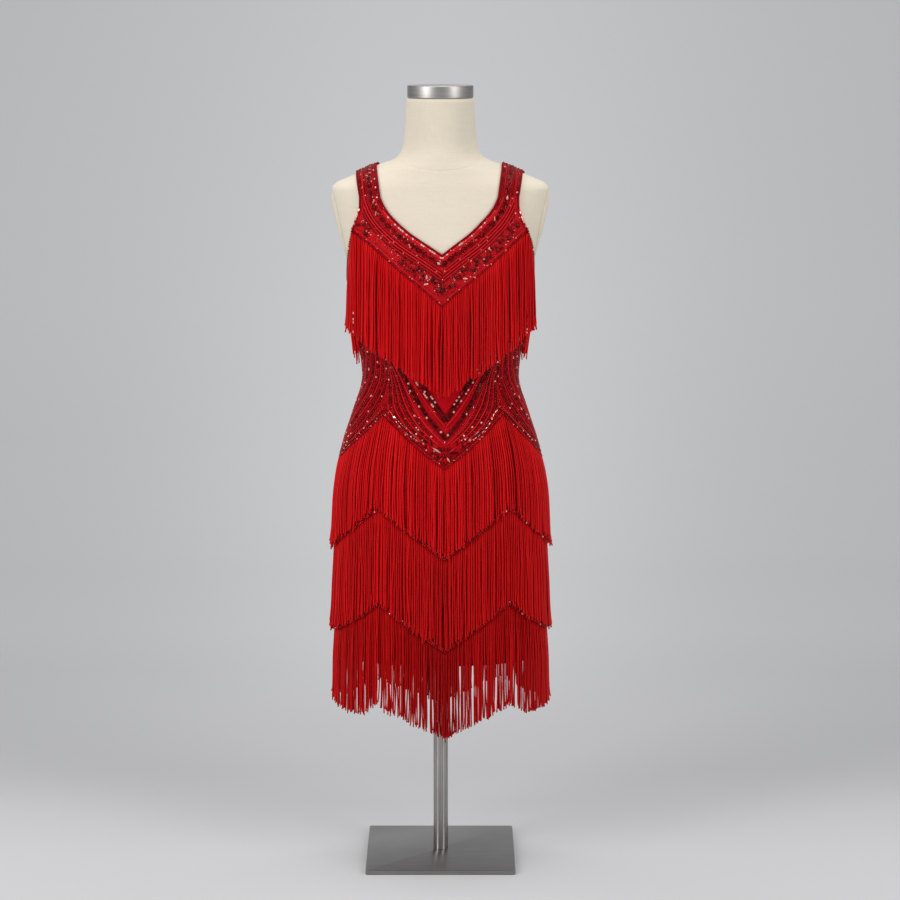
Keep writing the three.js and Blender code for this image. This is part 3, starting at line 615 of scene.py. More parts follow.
# third colour: the lined beads, a painted glint colour over a half-metal lining
GARNET = bead_material("garnet_beads", (0.045, 0.0, 0.002), (0.54, 0.006, 0.012), (0.92, 0.42, 0.36), share=0.03, rough=0.17)
JET = bead_material("dark_garnet_beads", (0.026, 0.0, 0.001), (0.36, 0.003, 0.008), (0.94, 0.46, 0.40), share=0.03, rough=0.16, shine=0.36)
SEED = bead_material("seed_beads", (0.20, 0.002, 0.005), (0.84, 0.020, 0.028), (0.96, 0.55, 0.48), share=0.025, rough=0.17)
BINDING = net_material("binding_tape", (0.12, 0.001, 0.004), (0.32, 0.005, 0.012), 0.7)
LINEN = linen_material("cream_linen", (0.635, 0.562, 0.452), (0.715, 0.643, 0.528))
STEEL = steel_material("brushed_steel", (0.25, 0.238, 0.23), (0.47, 0.452, 0.442), 0.27, (900, 900, 6), 0.0, 0.85)
CAP_STEEL = steel_material("cap_steel", (0.31, 0.295, 0.285), (0.50, 0.485, 0.47), 0.43, (12, 12, 900))
PLATE_STEEL = steel_material("plate_steel", (0.215, 0.208, 0.206), (0.295, 0.285, 0.281), 0.31, (8, 700, 700), 0.1)

# ---------------------------------------------------------------- form and stand
phi_f = np.linspace(0, 360, 145)[:-1]
z_f = np.unique(np.concatenate([np.linspace(480.6, 1150, 46), np.linspace(1150, 1184, 12), np.linspace(1184, 1226, 62), np.linspace(1226, 1309.4, 14)]))
PHI, ZZ = np.meshgrid(phi_f, z_f)
tp, tn = on_form(PHI, ZZ)
# seams: neck-base seam, centre front and back, pressed slightly in
neck_seam = 1216 + 4 * np.abs(np.sin(PHI * RAD)) - 24 * np.maximum(0, np.cos(PHI * RAD)) ** 2 + 2 * np.maximum(0, -np.cos(PHI * RAD))
groove = -0.42 * np.exp(-(((ZZ - neck_seam) / 1.2) ** 2))
mid = np.minimum(np.abs(PHI), np.abs(PHI - 360))
groove += -0.32 * np.exp(-((mid * 2.2 / 1.1) ** 2)) * (ZZ < neck_seam)
groove += -0.35 * np.exp(-(((PHI - 180) * 2.2 / 1.1) ** 2))
pts = tp + tn * groove[..., None]
cols = len(phi_f)
rows = len(z_f)
verts = np.concatenate([pts.reshape(-1, 3), [[0, 0, z_f[0]], [0, 0, z_f[-1]]]])
quads = grid_faces(rows, cols, closed=True)
i = np.arange(cols)
fan = np.concatenate([np.stack([np.full(cols, rows * cols), (i + 1) % cols, i], -1), np.stack([np.full(cols, rows * cols + 1), (rows - 1) * cols + i, (rows - 1) * cols + (i + 1) % cols], -1)])
arc = np.concatenate([PHI * 2.6 * MM, (PHI[:, :1] + 360) * 2.6 * MM], axis=1)
jj, ii = np.meshgrid(np.arange(rows - 1), np.arange(cols), indexing="ij")
uq = np.stack([np.stack([arc[jj, ii], ZZ[jj, ii % cols] * MM], -1), np.stack([arc[jj, ii + 1], ZZ[jj, ii % cols] * MM], -1),
               np.stack([arc[jj + 1, ii + 1], ZZ[jj + 1, ii % cols] * MM], -1), np.stack([arc[jj + 1, ii], ZZ[jj + 1, ii % cols] * MM], -1)], 2).reshape(-1, 4, 2)
uf = verts[fan][..., :2] * MM
form = ride(mesh_object("form_cover", verts, [quads, fan], LINEN, uvs=[uq, uf]))
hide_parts("form_torso")


def arm_disc(hand):
    rings, spokes = 16, 64
    p, n = [], []
    k = np.linspace(0, 1, rings + 1)[1:]
    a = np.arange(spokes) / spokes * 2 * math.pi
    K, A = np.meshgrid(k, a, indexing="ij")
    y, z = 41 * K * np.cos(A), 1098 + 59 * K * np.sin(A)
    nn = power(z)
    b = np.where(y < 0, front(z), rear(z))
    x = hand * half(z) * (1 - (np.abs(y) / b) ** nn) ** (1 / nn)
    p = np.stack([x, y, z], -1)
    n = normal_at(x, y, z)
    c = np.array([[hand * float(half(1098)), 0, 1098]])
    cn = normal_at(c[:, 0], c[:, 1], c[:, 2])
    rim_ = np.clip((K - 0.80) / 0.20, 0, 1)
    lift = 2.95 - 2.55 * rim_ * rim_ * (3 - 2 * rim_)
    top = (p + n * lift[..., None]).reshape(-1, 3)
    low = (p[-1] + n[-1] * 0.05)
    verts = np.concatenate([top, low, c + cn * 2.95, c + cn * 0.05])
    q = grid_faces(rings, spokes, closed=True)
    base = rings * spokes
    s = np.arange(spokes)
    s1 = (s + 1) % spokes
    rim = np.stack([(rings - 1) * spokes + s, (rings - 1) * spokes + s1, base + s1, base + s], -1)
    tri = np.concatenate([np.stack([np.full(spokes, base + spokes), s1, s], -1), np.stack([np.full(spokes, base + spokes + 1), base + s, base + s1], -1)])
    q, tri = (np.concatenate([q, rim]), tri) if hand > 0 else (np.concatenate([q, rim])[:, ::-1], tri[:, ::-1])
    o = mesh_object("arm_cover_" + ("r" if hand > 0 else "l"), verts, [q, tri], LINEN, uvs=[verts[q][..., 1:] * MM, verts[tri][..., 1:] * MM])
    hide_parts("arm_plate_" + ("r" if hand > 0 else "l"))
    return ride(o)


arm_disc(-1)
arm_disc(1)


def turned(name, profile, mat, sides=96):
    """A body of revolution from (radius, z) rows, closed at the axis."""
    a = np.arange(sides) / sides * 2 * math.pi
    prof = np.array(profile, float)
    v = np.stack([prof[:, None, 0] * np.cos(a), prof[:, None, 0] * np.sin(a), prof[:, None, 1] + 0 * a], -1).reshape(-1, 3)
    q = grid_faces(len(prof), sides, closed=True)
    caps = np.stack([np.arange(sides)[::-1], (len(prof) - 1) * sides + np.arange(sides)])
    o = mesh_object(name, v, [q, caps], mat)
    m = o.modifiers.new("edges", "EDGE_SPLIT")
    m.split_angle = 40 * RAD
    return ride(o)


def rounded(r, z, bevel, steps, start, end):
    t = np.linspace(start, end, steps + 1)
    return [(r + bevel * math.cos(x), z + bevel * math.sin(x)) for x in t]


cap = turned("neck_disc", [(20, 1310.0)] + rounded(55.4 - 1.6, 1311.5, 1.5, 4, -math.pi / 2, 0) + rounded(55.4 - 2.0, 1329.0, 1.9, 6, 0, math.pi / 2) + [(18, 1330.95)], CAP_STEEL)
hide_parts("neck_cap")
pole = turned("pole_tube", [(12.6, 8.4), (12.6, 60), (12.6, 200), (12.6, 360), (12.6, 479.6)], STEEL, 64)
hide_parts("pole")


def plate():
    h, c, t, bev = 128.0, 4.0, 8.0, 0.9
    a = np.concatenate([np.linspace(q, q + math.pi / 2, 7) for q in (-math.pi / 2, 0, math.pi / 2, math.pi)])
    cx = np.repeat([h - c, h - c, -h + c, -h + c], 7)
    cy = np.repeat([-h + c, h - c, h - c, -h + c], 7)
    loops = []
    for inset, z in ((bev, 0.0), (0.25 * bev, 0.25 * bev), (0, bev), (0, t - bev), (0.25 * bev, t - 0.25 * bev), (bev, t)):
        r = c - inset
        loops.append(np.stack([cx + r * np.cos(a), cy + r * np.sin(a), np.full(len(a), z)], -1))
    v = np.concatenate(loops)
    m = len(a)
    q = grid_faces(len(loops), m, closed=True)
    caps = np.stack([np.arange(m)[::-1], (len(loops) - 1) * m + np.arange(m)])
    o = mesh_object("foot_steel", v, [q, caps], PLATE_STEEL)
    mod = o.modifiers.new("edges", "EDGE_SPLIT")
    mod.split_angle = 25 * RAD
    return ride(o)


foot = plate()
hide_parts("foot_plate")

# ---------------------------------------------------------------- net cloth
CREASES = {
    # from angle, from height, to angle, to height (angles from the middle), half width, ridge (+) or trough (-) in mm
    "front": np.array([
        (-86, 872, -40, 846, 8, 0.75), (-80, 848, -52, 838, 7, -0.6), (-88, 818, -34, 838, 9, 0.6), (-70, 896, -38, 880, 8, -0.5),
        (-24, 800, 12, 792, 9, 0.5), (84, 866, 46, 850, 8, 0.7), (88, 842, 60, 826, 7, -0.6), (78, 812, 30, 830, 9, 0.65),
        (66, 900, 44, 874, 8, -0.45), (8, 774, 30, 786, 8, -0.4),
        (-62, 1040, -36, 1000, 10, 0.6), (58, 1032, 32, 985, 10, 0.55), (-10, 930, -24, 880, 9, -0.45), (14, 940, 28, 896, 9, -0.5),
        (-66, 700, -60, 300, 12, 0.8), (-47, 640, -50, 290, 10, -0.65), (-21, 660, -25, 310, 12, 0.7), (-4, 560, -2, 300, 10, -0.6),
        (17, 680, 21, 300, 13, 0.8), (38, 610, 36, 310, 10, -0.6), (57, 690, 63, 300, 12, 0.7), (79, 650, 76, 290, 11, -0.6)]),
    "back": np.array([
        (-84, 860, -46, 838, 8, 0.7), (-88, 836, -58, 822, 8, -0.6), (-74, 884, -30, 862, 9, 0.5), (-36, 812, -6, 824, 9, -0.5),
        (86, 876, 38, 856, 9, 0.75), (80, 846, 54, 834, 7, -0.55), (88, 822, 42, 812, 9, 0.6), (22, 838, -4, 850, 8, 0.4),
        (-56, 1036, -34, 996, 10, 0.5), (60, 1028, 38, 978, 10, 0.6), (4, 936, -14, 884, 10, -0.5),
        (-71, 690, -69, 300, 12, -0.6), (-52, 670, -56, 290, 12, 0.8), (-29, 620, -27, 300, 10, -0.65), (-9, 650, -13, 310, 13, 0.75),
        (13, 600, 11, 300, 10, -0.6), (31, 690, 34, 290, 12, 0.7), (54, 640, 51, 300, 11, -0.6), (73, 680, 78, 300, 12, 0.75)]),
}


def creases(c, z, table):
    """Soft ridges and troughs along straight runs, fading at both ends."""
    x, w = c * 2.6, 0 * (c + z)
    for a0, z0, a1, z1, wide, depth in table:
        dx, dz = (a1 - a0) * 2.6, z1 - z0
        run = math.hypot(dx, dz)
        s = ((x - a0 * 2.6) * dx + (z - z0) * dz) / run ** 2
        d = ((x - a0 * 2.6) * dz - (z - z0) * dx) / run
        w = w + depth * np.exp(-((d / wide) ** 2)) * np.clip(4 * s * (1 - s), 0, 1) ** 0.7
    return w


SHEETS = {}
for name, side, middle in (("front", -1, 0.0), ("back", 1, 180.0)):
    c = np.unique(np.concatenate([np.linspace(-89.9, 89.9, 109), LINE_1[side][::6, 0]]))
    c = c[(c >= -89.9) & (c <= 89.9)]
    top = line1(side)(c) - 0.4
    t = np.linspace(0, 1, 62)[:, None]
    z = top[None] * (1 - t) + HEM_Z * t
    C = np.broadcast_to(c, z.shape)
    p, n = worn(middle + C, z)
    w = np.clip(creases(C, z, CREASES[name]), -0.7, 0.9)
    uv = np.stack([C * 2.6 * MM, z * MM], -1)
    obj = shell("net_" + name, p + n * w[..., None], n, 2.3, 3.0, NET, uv=uv, flip=True)
    seg = np.linalg.norm(np.cross(np.diff(p, axis=0)[:, :-1], np.diff(p, axis=1)[:-1]), axis=-1)
    SHEETS["net_" + name] = (obj, float(seg.sum()) * 1e-6)
    ride(obj)
    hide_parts("body_" + name)

KF = np.concatenate([np.linspace(0, K0, 100)[:-1], np.linspace(K0, K1, 34)])
UF = np.linspace(0, 1, 41)
YG = {}
for name, side in (("front", -1), ("back", 1)):
    P, N, uvs = [], [], []
    for hand in (-1, 1):
        ks = KF[::-1] if hand < 0 else KF[1:]
        kk, uu = np.meshgrid(ks, UF[::4], indexing="ij")
        p, n = yoke_at(kk, uu, hand, side)
        P.append(p)
        N.append(n)
    P, N = np.concatenate(P), np.concatenate(N)
    gap = 2.0 - 0.6 * np.clip((P[..., 2] - 1105) / 55, 0, 1)
    along = np.concatenate([[0], np.cumsum(np.linalg.norm(np.diff(P[:, 5], axis=0), axis=1))]) * MM
    across = np.linspace(0, 0.05, P.shape[1])
    uv = np.stack([np.broadcast_to(across, P.shape[:2]), np.broadcast_to(along[:, None], P.shape[:2])], -1)
    obj = shell("yoke_net_" + name, P + N * gap[..., None], N, 0.15, 0.95, YOKE_NET, uv=uv, flip=side > 0)
    seg = np.linalg.norm(np.cross(np.diff(P, axis=0)[:, :-1], np.diff(P, axis=1)[:-1]), axis=-1)
    SHEETS["yoke_net_" + name] = (obj, float(seg.sum()) * 1e-6)
    ride(obj)
    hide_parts("yoke_" + name)

# ---------------------------------------------------------------- yoke beading
def yoke_field(hand, side):
    kk, uu = np.meshgrid(KF, UF, indexing="ij")
    p, n = yoke_at(kk, uu, hand, side)
    q = np.linspace(0, K1, 400)
    neck, _ = yoke_at(q, 0.0, hand, side)
    lead = neck[0] - neck[24]
    lead /= np.linalg.norm(lead)
    neck = np.concatenate([neck[0] + lead * np.linspace(110, 1, 90)[:, None], neck])
    outer, _ = yoke_at(q, 1.0, hand, side)
    lead = outer[0] - outer[24]
    lead /= np.linalg.norm(lead)
    outer = np.concatenate([outer[0] + lead * np.linspace(60, 1, 50)[:, None], outer])

    def dist(line_):
        a, b = line_[:-1], line_[1:]
        ab = b - a
        best = np.full(p.shape[:2], 1e9)
        for s in range(0, len(a), 40):
            aa, dd = a[s:s + 40], ab[s:s + 40]
            t = np.clip(np.einsum("ijkc,kc->ijk", p[:, :, None] - aa, dd) / np.maximum(1e-9, (dd * dd).sum(-1)), 0, 1)
            q_ = aa + t[..., None] * dd
            best = np.minimum(best, np.linalg.norm(p[:, :, None] - q_, axis=-1).min(-1))
        return best
    return p, n, dist(neck), dist(outer)


def offset_line(field, d, keep_out=4.5, from_outer=False):
    """The line at a distance from the neck edge (or from the outer edge), as far as the cloth goes."""
    p, n, dn, do = field
    D, E = (do[:, ::-1], dn[:, ::-1]) if from_outer else (dn, do)
    P, N = (p[:, ::-1], n[:, ::-1]) if from_outer else (p, n)
    out_p, out_n, ok = [], [], []
    for j in range(len(P)):
        mono = np.maximum.accumulate(D[j] + np.arange(D.shape[1]) * 1e-6)
        if mono[-1] <= d:
            ok.append(False)
            out_p.append(P[j, -1])
            out_n.append(N[j, -1])
            continue
        x = np.interp(d, mono, np.arange(len(mono)))
        out_p.append([np.interp(x, np.arange(len(mono)), P[j, :, c]) for c in range(3)])
        out_n.append([np.interp(x, np.arange(len(mono)), N[j, :, c]) for c in range(3)])
        ok.append(np.interp(x, np.arange(len(mono)), E[j]) > keep_out)
    out_p, out_n, ok = np.array(out_p), np.array(out_n), np.array(ok)
    runs, start = [], None
    for j in range(len(ok) + 1):
        if j < len(ok) and ok[j]:
            start = j if start is None else start
        elif start is not None:
            if j - start > 3:
                runs.append((out_p[start:j], out_n[start:j]))
            start = None
    return runs


CLOTH_TOP = 3.0


def lift_of(p):
    return CLOTH_TOP - 0.6 * np.clip((p[..., 2] - 1105) / 55, 0, 1)


def row_of(beads, kind, p, n, pitch, size, tone, off=0.0, start=0.5, jitter=0.1, lit=0.0):
    """A row of beads along a line of the cloth; lit: the share of lined beads, which carry a painted glint colour."""
    q, a, m, s = walk(p, n, pitch, start)
    if not len(q):
        return
    t = np.broadcast_to(np.asarray(tone, float), (len(q),)) + RNG.normal(0, 0.07, len(q))
    t = np.where(RNG.random(len(q)) < lit, 1.0, np.clip(t, 0, 1))
    beads.add(kind, q + m * (lift_of(q) + off + size[2] * 0.8)[:, None] + RNG.normal(0, jitter, q.shape), a, m, size, tone=t)


class Cords:
    """Collects smooth cords sewn flat on the cloth and makes one mesh of them."""

    def __init__(self):
        self.runs = []

    def add(self, p, n, radius, off=0.0, step=4.2):
        q, a, m, s = walk(p, n, step, 0.0)
        if len(q) < 3:
            return
        q = np.concatenate([q, p[-1:]])
        a = np.concatenate([a, a[-1:]])
        m = np.concatenate([m, n[-1:]])
        self.runs.append((q + m * (lift_of(q) + off + radius * 0.75)[:, None], np.cross(m, a), m, radius))

    def build(self, name, mat, sides=6):
        v, q, c, uq, uc, base = [], [], [], [], [], 0
        ang = np.arange(sides) / sides * 2 * math.pi
        for i_, (path, sa, na, r) in enumerate(self.runs):
            segs = len(path)
            rad = np.full(segs, r)
            rad[0] *= 0.55
            rad[-1] *= 0.55
            ring = path[:, None] + rad[:, None, None] * (np.cos(ang)[None, :, None] * sa[:, None] + np.sin(ang)[None, :, None] * na[:, None])
            v.append(ring.reshape(-1, 3))
            s, k = np.meshgrid(np.arange(segs - 1), np.arange(sides), indexing="ij")
            k1 = (k + 1) % sides
            q.append(np.stack([s * sides + k, s * sides + k1, (s + 1) * sides + k1, (s + 1) * sides + k], -1).reshape(-1, 4) + base)
            c.append(np.stack([np.arange(sides)[::-1], (segs - 1) * sides + np.arange(sides)]) + base)
            length = np.concatenate([[0], np.cumsum(np.linalg.norm(np.diff(path, axis=0), axis=1))]) * MM
            uu = np.stack([k, k + 1, k + 1, k], -1).reshape(-1, 4) / sides * 0.9 + 0.05 + i_
            vv = np.stack([length[s], length[s], length[s + 1], length[s + 1]], -1).reshape(-1, 4)
            uq.append(np.stack([uu, vv], -1))
            uc.append(np.full((2, sides, 2), i_ + 0.5))
            base += segs * sides
        return mesh_object(name, np.concatenate(v), [np.concatenate(q), np.concatenate(c)], mat, uvs=[np.concatenate(uq), np.concatenate(uc)])


def put(beads, kind, q, m, along, size, tone, off=0.0):
    beads.add(kind, q + m * (lift_of(q) + off + size[2] * 0.8)[:, None], along, m, size, tone=tone)


def eye_chain(beads, p, n, length, width):
    """A chain of pointed ovals outlined with bugle beads, a stone in each and a bead at each joint."""
    q, a, m, s = walk(p, n, length)
    if not len(q):
        return
    c = np.cross(m, a)
    half_l, half_w = length * 0.46, width * 0.5
    leg = math.hypot(half_l, half_w)
    for sa in (-1, 1):
        for sc in (-1, 1):
            d = a * half_l * sa - c * half_w * sc
            at = q + a * half_l * 0.5 * sa + c * half_w * 0.56 * sc
            put(beads, "bugle", at, m, d, (leg * 0.43, 1.15, 1.15), np.where(RNG.random(len(q)) < 0.045, 1.0, np.clip(RNG.normal(0.06, 0.08, len(q)), 0, 1)))
    put(beads, "leaf", q, m, a, (3.7, 2.5, 2.0), np.where(RNG.random(len(q)) < 0.07, 1.0, 0.0))
    j = q + a * length * 0.5
    for sc in (-1, 1):
        put(beads, "round", j + c * width * 0.42 * sc, m, a, (1.25, 1.25, 1.15), np.clip(RNG.normal(0.15, 0.1, len(q)), 0, 1))


def vine(beads, p, n, half_w, wave_len, phase):
    """A waved stem of round beads with leaves in pairs and a stone in each bend."""
    q, a, m, s = walk(p, n, 2.7)
    if not len(q):
        return
    c = np.cross(m, a)
    stem = q + c * (np.sin(s / wave_len * 2 * math.pi + phase) * half_w * 0.6)[:, None]
    put(beads, "round", stem, m, a, (1.3, 1.3, 1.25), np.clip(RNG.normal(0.12, 0.1, len(q)), 0, 1))
    q, a, m, s = walk(p, n, 5.6)
    c = np.cross(m, a)
    wave = np.sin(s / wave_len * 2 * math.pi + phase)
    flip_ = np.where(np.arange(len(q)) % 2 == 0, 1.0, -1.0)
    ang = flip_ * 0.8 + RNG.normal(0, 0.15, len(q))
    d1 = a * np.cos(ang)[:, None] + c * np.sin(ang)[:, None]
    at = q + c * (wave * half_w * 0.6 + flip_ * 3.4)[:, None]
    put(beads, "leaf", at, m, d1, (4.1, 2.1, 1.7), np.where(RNG.random(len(q)) < 0.07, 1.0, np.clip(RNG.normal(0.05, 0.08, len(q)), 0, 1)))
    q, a, m, s = walk(p, n, wave_len / 2)
    c = np.cross(m, a)
    wave = np.sin(s / wave_len * 2 * math.pi + phase)
    at = q - c * (np.sign(wave) * half_w * 0.55)[:, None]
    put(beads, "round", at, m, a, (3.5, 3.2, 2.6), 0.0)
    for k in range(5):
        w = 2 * math.pi * k / 5
        put(beads, "round", at + a * 4.5 * math.cos(w) + c * 4.5 * math.sin(w), m, a, (1.15, 1.15, 1.0), np.where(RNG.random(len(q)) < 0.10, 1.0, 0.2))


for name, side in (("front", -1), ("back", 1)):
    dark, seed, satin, deep_ = Beads(), Beads(), Cords(), Cords()
    for hand in (-1, 1):
        F = yoke_field(hand, side)
        # row by the neck: garnet on the strap, square beads down the V, given the bright lined tone as a painted glint
        # where the light falls on that stretch
        for p, n in offset_line(F, 5.7, 3.0):
            low = p[:, 2] < 1128
            if low.any():
                row_of(seed, "square", p[low], n[low], 4.3, (1.75, 1.3, 1.0), 0.97)
            if (~low).any():
                row_of(dark, "round", p[~low], n[~low], 4.2, (1.8, 1.7, 1.6), 0.15, lit=0.05)
        for d, r in ((8.9, 1.0), (22.4, 0.95), (26.5, 1.15), (30.9, 1.15), (35.2, 0.95)):
            for p, n in offset_line(F, d, 8.5):  # bright on the V, deeper on the straps
                up = p[:, 2] > 1150
                for part_, cords in ((~up, satin), (up, deep_)):
                    if part_.sum() > 3:
                        cords.add(p[part_], n[part_], r)
        for d, r, tone in ((24.4, 1.1, 0.1), (28.7, 1.15, 0.02), (33.1, 1.1, 0.1)):
            for p, n in offset_line(F, d, 9.0):
                row_of(dark, "seed", p, n, r * 2.2, (r, r, r * 0.95), tone, off=-0.1, lit=0.02)
        for p, n in offset_line(F, 37.4, 8.5):
            row_of(dark, "round", p, n, 3.1, (1.35, 1.35, 1.25), 0.2, lit=0.04)
        for p, n in offset_line(F, 15.5, 9.0):
            eye_chain(dark, p, n, 13.2, 9.6)
        for p, n in offset_line(F, 46.4, 10.5):
            vine(dark, p, n, 8.4, 27.0, 1.7)
        # ground of seed beads in the two bands
        for d in (11.0, 12.9, 18.1, 20.0, 39.4, 41.2, 43.2, 45.4, 48.0, 50.4, 52.6, 54.8, 57.0):
            for p, n in offset_line(F, d, 8.5):
                tone, first = (0.78 if int(d) % 2 else 0.62), RNG.random()
                for part_, t_ in ((p[:, 2] < 1146, tone), (p[:, 2] >= 1146, tone - 0.42)):  # deeper on the straps
                    if part_.sum() > 3:
                        row_of(seed, "seed", p[part_], n[part_], 2.8, (1.05, 1.05, 0.85), t_, jitter=0.35, start=first)
        # strap: rows along the outer edge; yoke: border rows
        for d, r, tone in ((5.6, 1.7, 0.12),):
            for p, n in offset_line(F, d, 6.5, from_outer=True):
                up = p[:, 2] > 1150
                if up.any():
                    row_of(dark, "round", p[up], n[up], 4.1, (r, r, r * 0.95), tone, lit=0.05)
                if (~up).any():
                    row_of(seed, "seed", p[~up], n[~up], 3.0, (1.2, 1.2, 1.1), 0.35, lit=0.06)
        for p, n in offset_line(F, 8.6, 8.0, from_outer=True):
            up = p[:, 2] > 1140
            if up.sum() > 3:
                row_of(seed, "seed", p[up], n[up], 3.2, (1.15, 1.15, 1.0), 0.4)
        for p, n in offset_line(F, 2.9, 6.5, from_outer=True):
            low = p[:, 2] < 1098
            if low.sum() > 3:
                satin.add(p[low], n[low], 1.25)
    # dark beads across each strap where its seam lies over the shoulder
    for hand in (-1, 1):
        if side == -1:
            u_ = np.linspace(0.07, 0.93, 7)
            p, n = yoke_at(np.full(len(u_), K1 - 0.05), u_, hand, side)
            put(dark, "round", p, n, np.array([0.0, 1.0, 0.0]), (2.2, 1.95, 1.8), 0.02, off=0.1)
    # stone set in a ring above the point
    mz = 999.0
    cx = 3.1 * turn(mz) * (-side)
    for ring_n, rr, tone, kind, size in ((1, 0.0, 0.0, "round", (3.4, 3.4, 2.6)), (9, 5.2, 0.05, "round", (1.5, 1.5, 1.4)), (12, 8.6, 0.3, "leaf", (2.3, 1.1, 1.0))):
        a = np.arange(ring_n) / ring_n * 2 * math.pi + 0.3
        p, n = on_face(cx + rr * np.cos(a), mz + rr * np.sin(a) * 1.05, side)
        dirs = np.stack([np.cos(a), 0 * a, np.sin(a)], -1)
        put(dark, kind, p, n, dirs, size, tone)
    o1 = ride(dark.build("yoke_beads_" + name, GARNET))
    o2 = ride(seed.build("yoke_seed_beads_" + name, SEED))
    o3 = ride(satin.build("yoke_cords_" + name, SATIN))
    o4 = ride(deep_.build("strap_cords_" + name, RIB))

# ---------------------------------------------------------------- bindings
def ring_tube(name, path, nrm, radius, mat, sides=10):
    """One closed round cord along a loop."""
    t = np.roll(path, -1, axis=0) - np.roll(path, 1, axis=0)
    t /= np.linalg.norm(t, axis=1, keepdims=True)
    s = np.cross(t, nrm)
    s /= np.linalg.norm(s, axis=1, keepdims=True)
    a = np.arange(sides) / sides * 2 * math.pi
    v = (path[:, None] + radius * (np.cos(a)[None, :, None] * s[:, None] + np.sin(a)[None, :, None] * nrm[:, None])).reshape(-1, 3)
    m = len(path)
    j, k = np.meshgrid(np.arange(m), np.arange(sides), indexing="ij")
    j1, k1 = (j + 1) % m, (k + 1) % sides
    q = np.stack([j * sides + k, j1 * sides + k, j1 * sides + k1, j * sides + k1], -1).reshape(-1, 4)
    d = np.concatenate([[0], np.cumsum(np.linalg.norm(np.diff(path, axis=0), axis=1)), [0]]) * MM
    d[-1] = d[-2] + np.linalg.norm(path[0] - path[-1]) * MM
    uv = np.stack([np.stack([k, k, k + 1, k + 1], -1) * 0.0006, np.stack([d[j], d[j + 1], d[j + 1], d[j]], -1)], -1).reshape(-1, 4, 2)
    return mesh_object(name, v, [q], mat, uvs=[uv])


def loop_neck(u_shift):
    parts_p, parts_n = [], []
    for side, hand, rev in ((-1, 1, False), (1, 1, True), (1, -1, False), (-1, -1, True)):
        k = np.linspace(0, K1, 150)
        p, n = yoke_at(k, 0.0, hand, side)
        p2, _ = yoke_at(k, 0.02, hand, side)
        w = p2 - p
        w /= np.linalg.norm(w, axis=1, keepdims=True)
        p = p + w * u_shift
        p, n = (p[::-1], n[::-1]) if rev else (p, n)
        parts_p.append(p[:-1])
        parts_n.append(n[:-1])
    return np.concatenate(parts_p), np.concatenate(parts_n)


def even(path, nrm, pitch):
    closed_p, closed_n = np.concatenate([path, path[:1]]), np.concatenate([nrm, nrm[:1]])
    q, a, m, s = walk(closed_p, closed_n, pitch, start=0.0)
    return q, a, m


np_, nn_ = loop_neck(1.9)
q, a, m = even(np_, nn_, 2.2)
neck_cord = ride(ring_tube("neck_cord", q + m * (lift_of(q) + 0.7)[:, None], m, 1.45, BINDING))
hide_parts("neck_binding")
b = Beads()
np_, nn_ = loop_neck(3.9)
q, a, m = even(np_, nn_, 2.0)
b.add("seed", q + m * (lift_of(q) + 0.75)[:, None], a, m, (0.9, 0.9, 0.9), tone=np.clip(RNG.normal(0.3, 0.12, len(q)), 0, 1))
neck_beads = ride(b.build("neck_bead_edge", GARNET))


def loop_arm(hand, inset):
    k = np.linspace(CORNER, K1, 120)
    fr, fn = yoke_at(k, 1.0, hand, -1)
    br, bn = yoke_at(k, 1.0, hand, 1)
    fi, _ = yoke_at(k, 0.98, hand, -1)
    bi, _ = yoke_at(k, 0.98, hand, 1)
    fw, bw = fi - fr, bi - br
    fr = fr + fw / np.linalg.norm(fw, axis=1, keepdims=True) * inset
    br = br + bw / np.linalg.norm(bw, axis=1, keepdims=True) * inset
    c = np.interp(np.linspace(0, 1, 70), np.linspace(0, 1, len(ARMHOLE)), ARMHOLE[:, 0])
    smooth = pchip(ARMHOLE[:, 0], ARMHOLE[:, 1])
    z = smooth(c)
    phis = np.concatenate([c * hand, 180 - c[::-1] * hand])
    zs = np.concatenate([z, z[::-1]])
    lp, ln = worn(phis, zs - inset * 0.8)
    # under the arm from the back up to the front
    path = np.concatenate([fr[:-1], br[::-1][:-1], lp[::-1]])
    nrm = np.concatenate([fn[:-1], bn[::-1][:-1], ln[::-1]])
    return path, nrm


for hand, tag in ((-1, "l"), (1, "r")):
    p, n = loop_arm(hand, 1.9)
    q, a, m = even(p, n, 2.2)
    cord_ = ride(ring_tube("armhole_cord_" + tag, q + m * (lift_of(q) + 0.5)[:, None], m, 1.35, BINDING))
    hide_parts("armhole_binding_" + tag)
    b = Beads()
    # garnet beads on the edge below the yoke, lined bugles beside it, smooth edge on the strap
    p, n = loop_arm(hand, 1.4)
    q, a, m = even(p, n, 4.4)
    low = q[:, 2] < 1100
    b.add("round", q[low] + m[low] * (lift_of(q[low]) + 2.3)[:, None], a[low], m[low], (1.9, 1.75, 1.75), tone=np.clip(RNG.normal(0.1, 0.08, low.sum()), 0, 1))
    p, n = loop_arm(hand, 2.6)
    q, a, m = even(p, n, 4.0)
    mid_ = (q[:, 2] > 1098) & (q[:, 2] < 1128)
    b.add("bugle", q[mid_] + m[mid_] * (lift_of(q[mid_]) + 1.6)[:, None], a[mid_], m[mid_], (1.8, 1.2, 1.1), tone=0.98)
    p, n = loop_arm(hand, 4.6)
    q, a, m = even(p, n, 3.0)
    low = q[:, 2] < 1166
    b.add("round", q[low] + m[low] * (lift_of(q[low]) + 1.0)[:, None], a[low], m[low], (1.2, 1.2, 1.1), tone=np.clip(RNG.normal(0.3, 0.12, low.sum()), 0, 1))
    o = ride(b.build("armhole_bead_edge_" + tag, GARNET))


